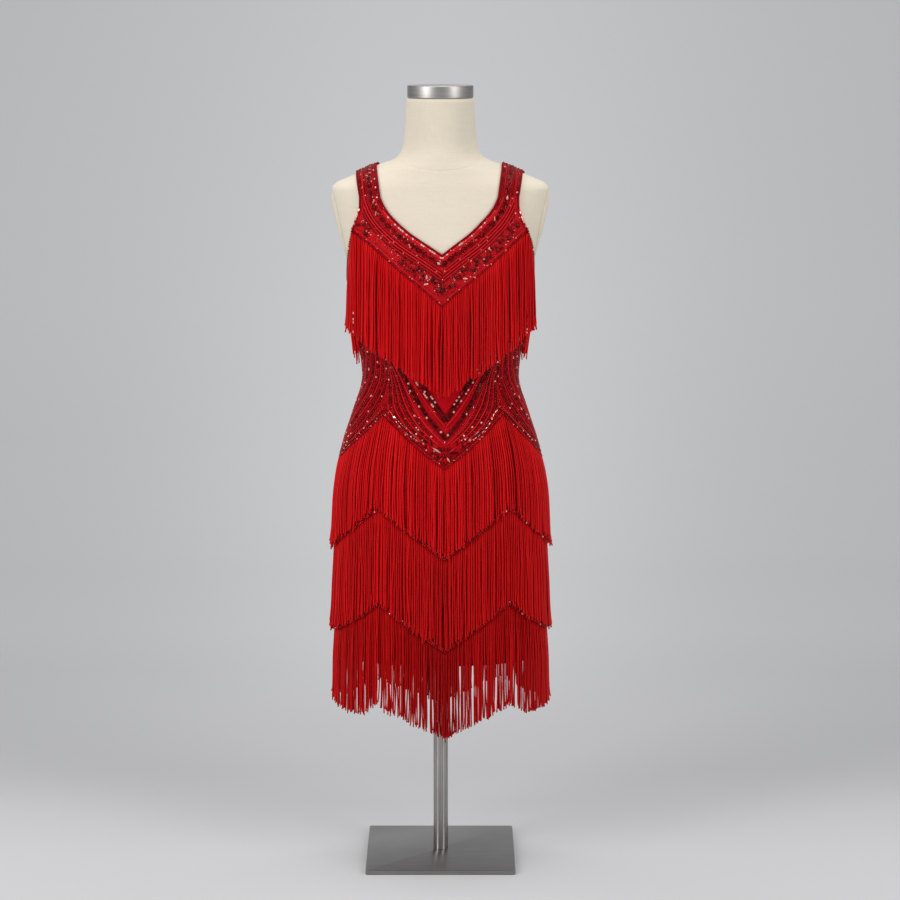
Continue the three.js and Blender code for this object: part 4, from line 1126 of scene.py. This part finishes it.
# ---------------------------------------------------------------- braids of the tiers
def braid_piece(name, middle, side, rel, zline, rows_, cloth_off, node_name):
    """A narrow tape with rows of beads along a line of the cut. rel: angles; zline(rel)."""
    z = zline(rel)
    P = []
    Nn = []
    for dz in (3.0, -3.0):
        p, n = worn(middle + rel, z + dz)
        P.append(p)
        Nn.append(n)
    P, Nn = np.array(P), np.array(Nn)
    tape = shell(name + "_tape", P, Nn, cloth_off, cloth_off + 0.7, YOKE_NET, uv=np.stack([np.array([[0.0], [0.006]]) + 0 * rel, np.broadcast_to(rel * 2.6 * MM, (2, len(rel)))], -1), flip=True)
    ride(tape)
    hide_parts(node_name)
    b = Beads()
    for dz, size, tone, kind, off in rows_:
        p, n = worn(middle + rel, z + dz)
        q, a, m, s = walk(p, n, size[0] * 2.2)
        t = np.where(RNG.random(len(q)) < (0.07 if tone > 0.8 else 0.008 if tone > 0.4 else 0.03), 1.0, np.clip(RNG.normal(tone, 0.14, len(q)), 0, 0.88))
        b.add(kind, q + m * (cloth_off + 0.7 + size[2] * 0.7 + off) + RNG.normal(0, 0.2, q.shape), a, m, size, tone=t)
    o = ride(b.build(name + "_beads", GARNET))


line2, line3, line4, end4 = line(LINE_2), line(LINE_3), line(LINE_4), line(FRINGE_END)
REL = np.linspace(-89.9, 89.9, 361)
for name, side, middle in (("front", -1, 0.0), ("back", 1, 180.0)):
    edge = LINE_1[side]
    c1 = max(abs(v) for v, zz in edge if abs(v) < 50)
    rel1 = np.linspace(-c1 + 1.2, c1 - 1.2, 201)
    braid_piece("braid_1_" + name, middle, side, rel1, line1(side), ((1.8, (1.1, 1.05, 1.0), 0.88, "seed", 0.0), (-0.8, (1.3, 1.25, 1.2), 0.42, "seed", 0.1)), 3.6, "braid_1_" + name)
    rows2 = ((2.0, (1.15, 1.1, 1.05), 0.88, "seed", 0.0), (-0.8, (1.35, 1.3, 1.25), 0.42, "seed", 0.1), (7.4, (1.7, 1.6, 1.5), 0.15, "round", -0.6))
    braid_piece("braid_2_" + name, middle, side, REL, line2, rows2, 3.6, "braid_2_" + name)
    rows34 = ((3.2, (1.75, 1.7, 1.7), 0.62, "round", 0.3), (-0.5, (1.95, 1.85, 1.75), 0.41, "round", 0.3))
    braid_piece("braid_3_" + name, middle, side, REL, line3, rows34, 4.3, "braid_3_" + name)
    braid_piece("braid_4_" + name, middle, side, REL, line4, rows34, 4.3, "braid_4_" + name)

# ---------------------------------------------------------------- waist beading
HIP = [  # lines of one half of the front, as angles and heights; the other half and the back get the same
    ((39.9, 893), (41.0, 850), (45.6, 809), (54.4, 773), (86.6, 709)), ((42.5, 900), (45.2, 851), (51.6, 811), (62.4, 772), (87.2, 721)),
    ((46.0, 907), (50.4, 860), (58.8, 820), (70.3, 783), (88.0, 735)), ((50.5, 913), (56.5, 866), (65.6, 828), (76.0, 791), (88.8, 751)),
    ((55.5, 918), (63.0, 873), (71.6, 837), (80.6, 804), (89.5, 770)), ((61.0, 923), (69.5, 881), (77.3, 848), (84.4, 820), (89.7, 792)),
    ((66.5, 927), (75.5, 890), (82.0, 861), (87.0, 838), (89.8, 815)), ((72.5, 930), (81.0, 900), (85.6, 880), (88.4, 862), (89.8, 842)),
    ((78.5, 933), (84.6, 915), (87.3, 902), (89.0, 888), (89.8, 868))]
POINT = {"v1": ((27.5, 884), (16.3, 838), (8.3, 810), (0.0, 780)), "light": ((31.2, 886), (18.6, 832), (9.2, 798), (0.0, 768)),
         "v2": ((34.0, 884), (20.8, 824), (9.8, 783), (0.0, 751)), "v3": ((36.4, 882), (23.6, 818), (11.6, 770), (0.0, 738))}
SLOPE = ((39.4, 882), (38.9, 836), (37.6, 806), (31.0, 779), (22.0, 756), (12.6, 741))


def curve_of(rows_, count=90):
    r = np.array(rows_, float)
    d = np.concatenate([[0], np.cumsum(np.hypot(np.diff(r[:, 0]) * 2.9, np.diff(r[:, 1])))])
    t = np.linspace(0, d[-1], count)
    return pchip(d, r[:, 0])(t), pchip(d, r[:, 1])(t)


def between(a_, b_, w):
    return a_[0] * (1 - w) + b_[0] * w, a_[1] * (1 - w) + b_[1] * w


for name, side, middle in (("front", -1, 0.0), ("back", 1, 180.0)):
    dark, seed, jet, ribs, satin = Beads(), Beads(), Beads(), Cords(), Cords()
    for hand in (-1, 1):
        def lay(curve, shift=0.0):
            return worn(middle + shift + hand * curve[0], curve[1])

        # two bead rows and a cord along the header over the hip
        side_phi = np.linspace(40.5, 78, 90)
        for dz, kind in ((9.6, "beads"), (13.4, "cord"), (17.4, "beads")):
            stop = side_phi < (78 if dz < 12 else 66 if dz < 15 else 58)
            p, n = worn(middle + hand * side_phi[stop], line2(side_phi[stop]) + dz)
            if kind == "beads":
                row_of(dark, "round", p, n, 5.4, (2.0, 1.85, 1.8), 0.25, lit=0.08)
            else:
                satin.add(p, n, 1.2)

        # ribs over the hips: garnet cords, every fourth line of beads
        hip = [curve_of(r_) for r_ in HIP]
        for i_ in range(len(hip) - 1):
            for k, w in enumerate((0.0, 0.34, 0.67)):
                p, n = lay(between(hip[i_], hip[i_ + 1], w))
                if k == 0 and (i_ % 2 == 0 or i_ > 4) or (i_ == 0 and k == 2):
                    row_of(dark, "round", p, n, 4.6, (1.9, 1.7, 1.75), 0.15, lit=0.06)
                elif k == 2 and i_ < 6:
                    row_of(dark, "bugle", p, n, 5.2, (2.45, 1.3, 1.35), 0.1, lit=0.02)
                else:
                    ribs.add(p, n, 1.65)
        # the two dark points of faceted beads, with a light cord between them
        for key in ("v1", "v2"):
            c_ = curve_of(POINT[key])
            p, n = lay(c_, 0.9)
            row_of(jet, "square", p, n, 3.5, (1.75, 1.7, 1.5), 0.0)
            q, a, m, s = walk(p, n, 3.7, 0.9)
            across = np.cross(m, a) * hand * -side
            # painted glints: on the upper part of the points many squares get the bright lined tone
            for off_, lo, hi in ((3.3, 801, 862), (-3.2, 801, 830)):
                at = q + across * off_
                lining_and_glint_mask = (q[:, 2] > lo) & (q[:, 2] < hi) & (RNG.random(len(q)) < (0.6 if key == "v1" else 0.25))
                if key == "v1" or off_ > 0:
                    put(jet, "square", at, m, a, (1.75, 1.5, 1.35), np.where(lining_and_glint_mask, 1.0, 0.02))
        p, n = lay(curve_of(POINT["light"]), 0.9)
        satin.add(p, n, 1.5)
        p, n = lay(curve_of(POINT["v3"]), 0.9)
        satin.add(p, n, 1.2)
        q, a, m, s = walk(p, n, 3.4)
        put(seed, "seed", q + np.cross(m, a) * hand * -side * -2.7, m, a, (1.15, 1.15, 1.1), np.clip(RNG.normal(0.55, 0.12, len(q)), 0, 1))
        # the fan from the peak of the second tier to the middle
        v3, slope = curve_of(POINT["v3"]), curve_of(SLOPE)
        for k in range(1, 8):
            c_ = between(v3, slope, k / 8)
            keep = np.ones(len(c_[0]), bool)
            keep[-int(4 + 2 * abs(4 - k)):] = k in (2, 4)
            p, n = lay((c_[0][keep], c_[1][keep]))
            if k % 2:
                row_of(dark, "round", p, n, 4.9, (2.15, 2.0, 1.9), 0.14, lit=0.05)
            else:
                satin.add(p, n, 1.25)
            if k in (3, 6):
                q, a, m, s = walk(p[:45], n[:45], 2.6)
                put(seed, "seed", q + np.cross(m, a) * hand * 2.3, m, a, (0.95, 0.95, 0.9), np.clip(RNG.normal(0.6, 0.15, len(q)), 0, 1))
        p, n = lay(slope)
        row_of(seed, "bugle", p[47:], n[47:], 4.6, (2.0, 0.95, 0.95), 0.97)
        row_of(dark, "round", p[:47], n[:47], 4.9, (2.0, 1.85, 1.8), 0.2, lit=0.05)
        edge_ = np.linspace(9, 36.5, 60)
        p, n = worn(middle + hand * edge_[::-1], line2(edge_[::-1]) + 12.5 + 1.5 * np.sin(edge_[::-1] / 6))
        row_of(seed, "bugle", p, n, 4.6, (2.1, 1.0, 1.0), 0.9, lit=0.4)
        # scrolls beside the flower: small open rings of beads
        for cph, cz, rad in ((17.2, 753.5, 4.6), (11.4, 744.5, 4.2), (24.2, 766.0, 3.8)):
            w = np.linspace(-0.6, 4.6, 12)
            dz, dx = rad * np.sin(w), rad * np.cos(w)
            p, n = worn(middle + hand * (cph + dx / 2.75), cz + dz)
            row_of(dark, "bugle", p, n, 3.4, (1.55, 0.95, 1.0), 0.2, off=0.4, lit=0.16)
            pc, nc = worn(np.array([middle + hand * cph]), np.array([cz]))
            put(dark, "round", pc, nc, np.array([[1.0, 0, 0]]), (1.9, 1.9, 1.7), 0.0)
        # leaves fanned from the flower; two on each side get the bright lined tone as painted highlights
        for a_, l_, tone in ((0.20, 8.6, 0.0), (0.58, 8.4, 0.97), (1.0, 5.6, 0.0), (1.42, 4.2, 0.1), (-0.42, 4.4, 0.05), (-1.05, 5.0, 0.97)):
            r_ = 4.6 + l_
            p, n = worn(np.array([middle + hand * (0.4 + r_ * math.cos(a_) / 2.75)]), np.array([723.0 + r_ * math.sin(a_)]))
            d = np.array([[math.cos(a_) * hand * -side, 0, math.sin(a_)]])
            put(dark, "leaf", p, n, d, (l_, 2.0, 1.7), tone, off=0.4)
        # a spray of three dark leaves between the flower and the scrolls
        for cph, cz, a_ in ((10.4, 736.5, 0.95), (13.6, 742.5, 0.45), (7.4, 741.5, 1.35)):
            p, n = worn(np.array([middle + hand * cph]), np.array([cz]))
            put(dark, "leaf", p, n, np.array([[math.cos(a_) * hand * -side, 0, math.sin(a_)]]), (4.6, 1.9, 1.5), 0.0, off=0.3)
    p, n = worn(np.array([middle]), np.array([721.0]))
    put(jet, "round", p, n, np.array([[1.0, 0, 0]]), (3.9, 3.9, 2.8), 0.0, off=0.4)
    # ground of seed beads between the lines
    rr = np.random.default_rng(77 + side)
    ph = rr.uniform(-89, 89, 4700)
    zz = rr.uniform(712, 934, 4700)
    a_ph = np.abs(ph)
    ok = (zz > line2(ph) + 11) & (np.hypot(ph * 2.75, zz - 723) > 15) & (a_ph > 1) & ~((a_ph < 16) & (zz > 780 + a_ph * 3))
    p, n = worn(middle + ph[ok], zz[ok])
    put(seed, "seed", p, n, np.array([0.0, 0, 1]), (1.0, 1.0, 0.8), np.clip(rr.normal(0.55, 0.2, ok.sum()), 0, 0.88))
    for o in (dark.build("waist_beads_" + name, GARNET), jet.build("waist_points_" + name, JET), seed.build("waist_seed_beads_" + name, SEED), ribs.build("waist_ribs_" + name, RIB), satin.build("waist_cords_" + name, SATIN)):
        ride(o)


# ---------------------------------------------------------------- fringes
def arc_even(middle, lo, hi, ztab, pitch):
    """Angles that are evenly spaced in length along the line."""
    c = np.linspace(lo, hi, 721)
    p, _ = worn(middle + c, ztab(c))
    flat = p.copy()
    flat[:, 2] = 0
    d = np.concatenate([[0], np.cumsum(np.linalg.norm(np.diff(flat, axis=0), axis=1))])
    count = int(round(d[-1] / pitch))
    return np.interp((np.arange(count) + 0.5) * d[-1] / count, d, c)


FIRST = [0]
HANG = {}


def fringe(name, middle, lo, hi, top, low, mat, node_name, pitch=3.7, rows_=2, radius=1.35, start=4.9, flare=2.6, segs=14, cling=0.0, gap=1.3, group=(3, 9), ragged=1.6, seed=1, deep=2.3, kick=0.0, wave_=0.42, tip=1.3, loose=0.42, edge=(74, 88), slit=0.16, slit_w=(0.9, 1.7), spread=0.45, solid=0.0, part=0.0):
    """Rows of hanging cords. Groups of neighbours hang together; the gaps between them open just below the header."""
    r = np.random.default_rng(seed)
    ref = arc_even(middle, lo, hi, top, 1.0)
    length = len(ref) * 1.0
    bounds = [0.0]
    while bounds[-1] < length:
        bounds.append(bounds[-1] + pitch * int(r.integers(group[0], group[1] + 1)))
    bounds = np.array(bounds)
    mids = (bounds[1:] + bounds[:-1]) / 2
    gaps = gap * r.gamma(1.6, 0.62, len(mids)) + np.where(r.random(len(mids)) < slit, r.uniform(*slit_w, len(mids)), 0)
    if solid:  # no gaps in the middle, over the pole
        at_mid = np.abs(mids - length / 2) < solid
        gaps = np.where(at_mid, 0.15, gaps)
    gshift = r.normal(0, 0.5, len(mids))
    gout = r.normal(0, 0.8, len(mids))
    glen = r.normal(0, 0.8, len(mids))
    allp, allr, alls, allo = [], [], [], []
    for row in range(rows_ + (1 if solid else 0)):
        c = arc_even(middle, lo, hi, top, pitch)
        if row % 2:
            c = (c[1:] + c[:-1]) / 2
        if row == rows_:  # more cords in the middle only
            at_ = np.interp(c, ref, np.arange(len(ref)) * 1.0) - length / 2
            c = c[np.abs(at_) < solid] + 0.35
        N = len(c)
        posn = np.interp(c, ref, np.arange(len(ref)) * 1.0)
        gid = np.clip(np.searchsorted(bounds, posn + 0.01, side="right") - 1, 0, len(mids) - 1)
        c = c + r.normal(0, 0.10, N)
        zt = top(c) - 0.8 - 0.5 * row
        end_ = np.clip((np.abs(c) - edge[0]) / (edge[1] - edge[0]), 0, 1)
        zl = low(c) + r.normal(0, ragged, N) * (1 + 0.9 * end_) + glen[gid] - np.where(r.random(N) < 0.06, r.uniform(1.5, 5, N), 0)
        t = np.concatenate([np.linspace(0, 1, segs - 3) ** 1.1 * 0.955, [0.975, 0.993, 1.0]])
        z = zt[:, None] + (zl - zt)[:, None] * t[None]
        phi = (middle + c + turn(zt))[:, None]
        fine = np.linspace(0, 1, 40)
        zf = zt[:, None] + (zl - zt)[:, None] * fine[None]
        rf = reach(phi, zf)
        run = np.maximum.accumulate(rf, axis=1)
        if cling:
            run = run * (1 - cling) + rf * cling
        rad = np.array([np.interp(t, fine, run[k]) for k in range(N)])
        hx, hy = heading(phi)
        x, y = hx * rad, hy * rad
        n = normal_at(x, y, np.broadcast_to(zt[:, None], z.shape))
        n[..., 2] = 0
        n /= np.linalg.norm(n, axis=-1, keepdims=True)
        side_ax = np.stack([-n[..., 1], n[..., 0], 0 * n[..., 0]], -1)
        tt = t[None]
        # the cords of a group close up, so a gap opens beside it
        rel = (posn - mids[gid]) / np.maximum(1.0, (bounds[gid + 1] - bounds[gid]) / 2)
        late = (-rel * gaps[gid] + gshift[gid])[:, None] * np.minimum(1, tt / 0.3) ** 0.8
        late = late - (rel * gaps[gid] * 0.35)[:, None] * tt ** 2
        if part:  # the cords part on the middle line
            dm = posn - length / 2
            late = late + (np.sign(dm) * part * np.exp(-((dm / 6.0) ** 2)))[:, None] * np.minimum(1, tt / 0.55) ** 1.4
        w = r.uniform(0, 6.28, (N, 2))
        amp = r.normal(0, wave_, (N, 2))
        late = late + (amp[:, :1] * np.sin(tt * 6.0 + w[:, :1]) + amp[:, 1:] * 0.6 * np.sin(tt * 15 + w[:, 1:])) * np.minimum(1, tt * 4)
        drift = np.convolve(r.normal(0, 1, N + 6), np.ones(7) / 7, "valid") * 2.2
        late = late + r.normal(0, loose, N)[:, None] * np.minimum(1, tt / 0.25) + drift[:, None] * loose * np.sin(tt * 3.4 + w[:, :1] * 0.3)
        late = late + (r.normal(0, 0.35, N)[:, None] * tt + (r.normal(0, tip, N) * (1 + 1.1 * end_))[:, None] * tt ** 16)
        off = start + flare * (1 - 0.55 * end_)[:, None] * np.minimum(1, tt * 2.2) - deep * row * np.minimum(1, tt * 3 + 0.45)
        off = off + kick * (np.abs(np.sin(c * RAD)) ** 3)[:, None] * tt ** 1.3
        off = off + gout[gid][:, None] * tt ** 1.2 + r.normal(0, spread, N)[:, None] * np.minimum(1, tt * 3) + (np.abs(r.normal(0, 0.9, N)) * (1 + 1.0 * end_))[:, None] * tt ** 14
        off = np.maximum(off, 3.2)
        path = np.stack([x, y, z], -1) + n * off[..., None] + side_ax * late[..., None]
        rr = radius * (1 + r.normal(0, 0.06, N))[:, None] * np.ones_like(t)[None]
        rr[:, 0] *= 0.8
        rr[:, -2] *= 1.04
        rr[:, -1] *= 0.55
        allp.append(path)
        allr.append(rr)
        alls.append(side_ax)
        allo.append(n)
        if row == 0:
            HANG[name] = (c, path, n)
    path, rr, sa, na = (np.concatenate(v) for v in (allp, allr, alls, allo))
    obj = tubes(name, path, rr, sa, na, mat, sides=5, first=FIRST[0])
    FIRST[0] += len(path)
    ride(obj)
    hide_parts(node_name)
    return obj


FRINGES = {"front": [], "back": []}
low1_ = line(TIER_1)


def low1(c):
    corner = np.clip((np.abs(c) - 44) / 16, 0, 1)
    return low1_(c - 1.3 * np.exp(-((c / 25.0) ** 2))) + 5.0 * np.exp(-(((c - 1.3) / 9.0) ** 2)) + 7.0 * corner


for name, side, middle in (("front", -1, 0.0), ("back", 1, 180.0)):
    base = line1(side)

    def top1(c, base=base):
        a = np.abs(c)
        return base(c) - np.interp(a, [0, 43, 48, 52, 57, 64], [2.2, 2.2, 2.4, 4.2, 5.4, 5.4])
    F_ = FRINGES[name]
    F_.append(fringe("cords_1_" + name, middle, -63.8, 63.8, top1, lambda c: low1(c) - 1.0, CORD_A, "fringe_1_" + name, seed=11 + side, start=5.0, flare=2.4, gap=0.8, kick=3.6, ragged=2.0, edge=(50, 62), pitch=3.5, radius=1.34, tip=1.1, part=2.2, loose=0.36, segs=13))
    F_.append(fringe("cords_2_" + name, middle, -89.7, 89.7, lambda c: line2(c) - 2.2, lambda c: line3(c) + 2.0, CORD_A, "fringe_2_" + name, seed=21 + side, start=5.2, flare=3.2, gap=0.75, kick=4.0, ragged=2.7, pitch=3.5, radius=1.36, part=1.9, loose=0.35, spread=0.38, segs=13))
    F_.append(fringe("cords_3_" + name, middle, -89.7, 89.7, lambda c: line3(c) - 2.0, lambda c: line4(c) + 2.0, CORD_B, "fringe_3_" + name, seed=31 + side, start=5.4, flare=3.2, gap=0.75, kick=5.0, ragged=2.7, pitch=3.5, radius=1.36, part=1.7, loose=0.35, spread=0.38, segs=13))
    F_.append(fringe("cords_4_" + name, middle, -89.7, 89.7, lambda c: line4(c) - 2.0, end4, CORD_C, "fringe_4_" + name, seed=41 + side, start=5.2, flare=2.6, gap=0.7, group=(2, 7), pitch=3.3, radius=1.15, ragged=2.5, segs=15, kick=2.5, tip=1.2, loose=0.34, slit=0.20, slit_w=(1.2, 2.4), solid=15.0))
arm = line(ARMHOLE)
side_low = line(TIER_1_SIDE)
for tag, middle in (("l", -90.0), ("r", 90.0)):
    FRINGES["front"].append(fringe("cords_1_side_" + tag, middle, -29.0, 29.0, lambda c: arm(90 + c) - 5.5, lambda c: side_low(90 + c) + 14.0, CORD_A, "fringe_1_side_" + tag, seed=51 if tag == "l" else 52, start=5.4, flare=0.8, cling=0.68, gap=1.5, group=(2, 4), rows_=1, pitch=3.7, radius=1.05, ragged=10.0, loose=0.9, tip=2.4, edge=(200, 201), spread=2.0))

# a short string of small lined bugles hangs among the outer cords of the top tier
strings = Beads()
for name in ("front", "back"):
    c, path, n = HANG["cords_1_" + name]
    for at in (-50.0, 50.0):
        k = int(np.argmin(np.abs(c - at)))
        p, m = path[k] + n[k] * 1.9, n[k]
        p, m = p[p[:, 2].argsort()][:], m[p[:, 2].argsort()][:]
        keep = (p[:, 2] > p[0, 2] + 4) & (p[:, 2] < p[0, 2] + 52)
        q, a, m, s_ = walk(p[keep], m[keep], 5.4)
        strings.add("bugle", q, a, m, (1.9, 0.95, 0.95), tone=np.where(np.arange(len(q)) % 3 == 2, 0.4, 1.0))
o = ride(strings.build("side_bead_strings", GARNET))

for name in ("front", "back"):
    obj, area = SHEETS["net_" + name]
    obj, area = SHEETS["yoke_net_" + name]

# ---------------------------------------------------------------- floor, light, camera
def stage_material():
    """Studio paper with painted light and shade: pale on the floor, a painted shade band behind the stand, painted
    shade falling off to both sides, and a painted pool of light about the foot.
    """
    mat, nt, b = nodes_of("studio_paper")
    geo = nt.nodes.new("ShaderNodeTexCoord").outputs["Object"]
    sep = nt.nodes.new("ShaderNodeSeparateXYZ")
    nt.links.new(geo, sep.inputs[0])
    depth = maths(nt, "ADD", sep.outputs[1], sep.outputs[2])
    tone = ramp(nt, maths(nt, "MULTIPLY", maths(nt, "ADD", depth, 2.0), 1 / 12.0, clamp=True), PAPER_GREYS_AND_SHADE)
    wide = noise(nt, geo, 0.6, 2.0)

    def bell(x, middle, width):
        d = maths(nt, "MULTIPLY", maths(nt, "SUBTRACT", x, middle), 1.0 / width)
        return maths(nt, "EXPONENT", maths(nt, "MULTIPLY", maths(nt, "MULTIPLY", d, d), -1.0))

    # painted shade: the wall falls off to both sides over a width that grows with the distance
    wide_x = maths(nt, "DIVIDE", sep.outputs[0], maths(nt, "MAXIMUM", maths(nt, "ADD", sep.outputs[1], 4.5), 0.5))
    far_ = nt.nodes.new("ShaderNodeMapRange")
    far_.inputs["From Min"].default_value = 0.25
    far_.inputs["From Max"].default_value = 1.3
    nt.links.new(depth, far_.inputs["Value"])
    side_shade = maths(nt, "MULTIPLY", maths(nt, "SUBTRACT", 1.0, bell(wide_x, -0.004, 0.088)), PAINTED_SIDE_SHADE)
    high_ = nt.nodes.new("ShaderNodeMapRange")
    high_.inputs["From Min"].default_value = 3.6
    high_.inputs["From Max"].default_value = 6.4
    high_.inputs["To Min"].default_value = 1.0
    high_.inputs["To Max"].default_value = 0.5
    nt.links.new(depth, high_.inputs["Value"])
    side_shade = maths(nt, "MULTIPLY", side_shade, high_.outputs[0])
    painted_paper_shading = maths(nt, "SUBTRACT", 1.0, maths(nt, "MULTIPLY", side_shade, far_.outputs[0]))
    # and a painted pool of light makes the floor about the foot a little brighter
    near_ = nt.nodes.new("ShaderNodeMapRange")
    near_.inputs["From Min"].default_value = 0.30
    near_.inputs["From Max"].default_value = 0.02
    nt.links.new(depth, near_.inputs["Value"])
    lift = maths(nt, "MULTIPLY", bell(sep.outputs[0], -0.03, 0.33), 0.15)
    painted_paper_shading = maths(nt, "ADD", painted_paper_shading, maths(nt, "MULTIPLY", lift, near_.outputs[0]))
    painted_paper_shading = maths(nt, "MULTIPLY", painted_paper_shading, maths(nt, "ADD", 0.985, maths(nt, "MULTIPLY", wide, 0.03)))
    n = nt.nodes.new("ShaderNodeMix")
    n.data_type = "RGBA"
    n.blend_type = "MULTIPLY"
    n.inputs[0].default_value = 1.0
    nt.links.new(tone, n.inputs[6])
    comb = nt.nodes.new("ShaderNodeCombineColor")
    for k in range(3):
        nt.links.new(painted_paper_shading, comb.inputs[k])
    nt.links.new(comb.outputs[0], n.inputs[7])
    nt.links.new(n.outputs[2], b.inputs["Base Color"])
    b.inputs["Roughness"].default_value = 0.9
    b.inputs["Specular IOR Level"].default_value = 0.1
    return mat


def grey(v):
    return (v, v * 1.003, v * 1.018)


PAINTED_SIDE_SHADE = 0.19  # painted shade: how much darker the paper is far out to both sides
# place along the paper, from 2 m in front of the stand to 10 m behind and up, and its grey with painted shade: a darker
# band just behind the stand and a fall-off far back
PAPER_GREYS_AND_SHADE = [((y_ + 2.0) / 12.0, grey(v)) for y_, v in ((-0.6, 0.545), (0.0, 0.540), (0.25, 0.502), (0.5, 0.470), (0.8, 0.495), (1.25, 0.548), (1.7, 0.590), (2.6, 0.633), (3.5, 0.636), (4.6, 0.630), (5.6, 0.612), (6.4, 0.598), (9.9, 0.57))]
ys = np.concatenate([np.linspace(-9, 2.4, 12), 2.4 + 3.0 * np.sin(np.linspace(0, math.pi / 2, 24)[1:]), np.full(8, 5.4)])
zs = np.concatenate([np.zeros(12), 3.0 - 3.0 * np.cos(np.linspace(0, math.pi / 2, 24)[1:]), np.linspace(3.4, 9, 8)])
xs = np.linspace(-12, 12, 13)
X, Y = np.meshgrid(xs, ys)
_, Z = np.meshgrid(xs, zs)
floor = mesh_object("studio_floor", np.stack([X, Y, Z], -1).reshape(-1, 3) / MM, [grid_faces(len(ys), len(xs))], stage_material())

world = bpy.data.worlds.new("studio")
bpy.context.scene.world = world
world.use_nodes = True
bg = world.node_tree.nodes["Background"]
bg.inputs[0].default_value = (0.97, 0.98, 1.0, 1)
bg.inputs[1].default_value = 0.46


def area_light(name, loc, target, size, power_, color=(1, 1, 1)):
    l = bpy.data.lights.new(name, "AREA")
    l.shape = "RECTANGLE"
    l.size, l.size_y = size
    l.energy = power_
    l.color = color
    o = bpy.data.objects.new(name, l)
    o.location = loc
    o.rotation_euler = (Vector(target) - Vector(loc)).to_track_quat("-Z", "Y").to_euler()
    bpy.context.scene.collection.objects.link(o)
    return o


area_light("soft_left", (-2.35, -1.95, 1.8), (0, 0, 0.95), (1.0, 2.4), 54, (1.0, 0.99, 0.975))
area_light("soft_right", (2.35, -1.95, 1.8), (0, 0, 0.95), (1.0, 2.4), 39, (1.0, 0.99, 0.98))
area_light("top", (0.0, 0.2, 4.4), (0, 0, 0.6), (3.2, 2.6), 78)
area_light("backdrop", (0.0, 2.2, 4.8), (0, 5.4, 1.2), (6.0, 1.0), 60)

cam = bpy.data.cameras.new("camera")
cam.sensor_width = 36.0
cam.lens = 2669.0 / 900 * 36.0
cam.clip_end = 100
cam_obj = bpy.data.objects.new("camera", cam)
cam_obj.location = (0.01615, -4.5, 1.45)
cam_obj.rotation_euler = (math.radians(90 - 9.3), 0, 0)
bpy.context.scene.collection.objects.link(cam_obj)
bpy.context.scene.camera = cam_obj
bpy.context.scene.view_settings.view_transform = "Standard"
bpy.context.scene.view_settings.look = "None"
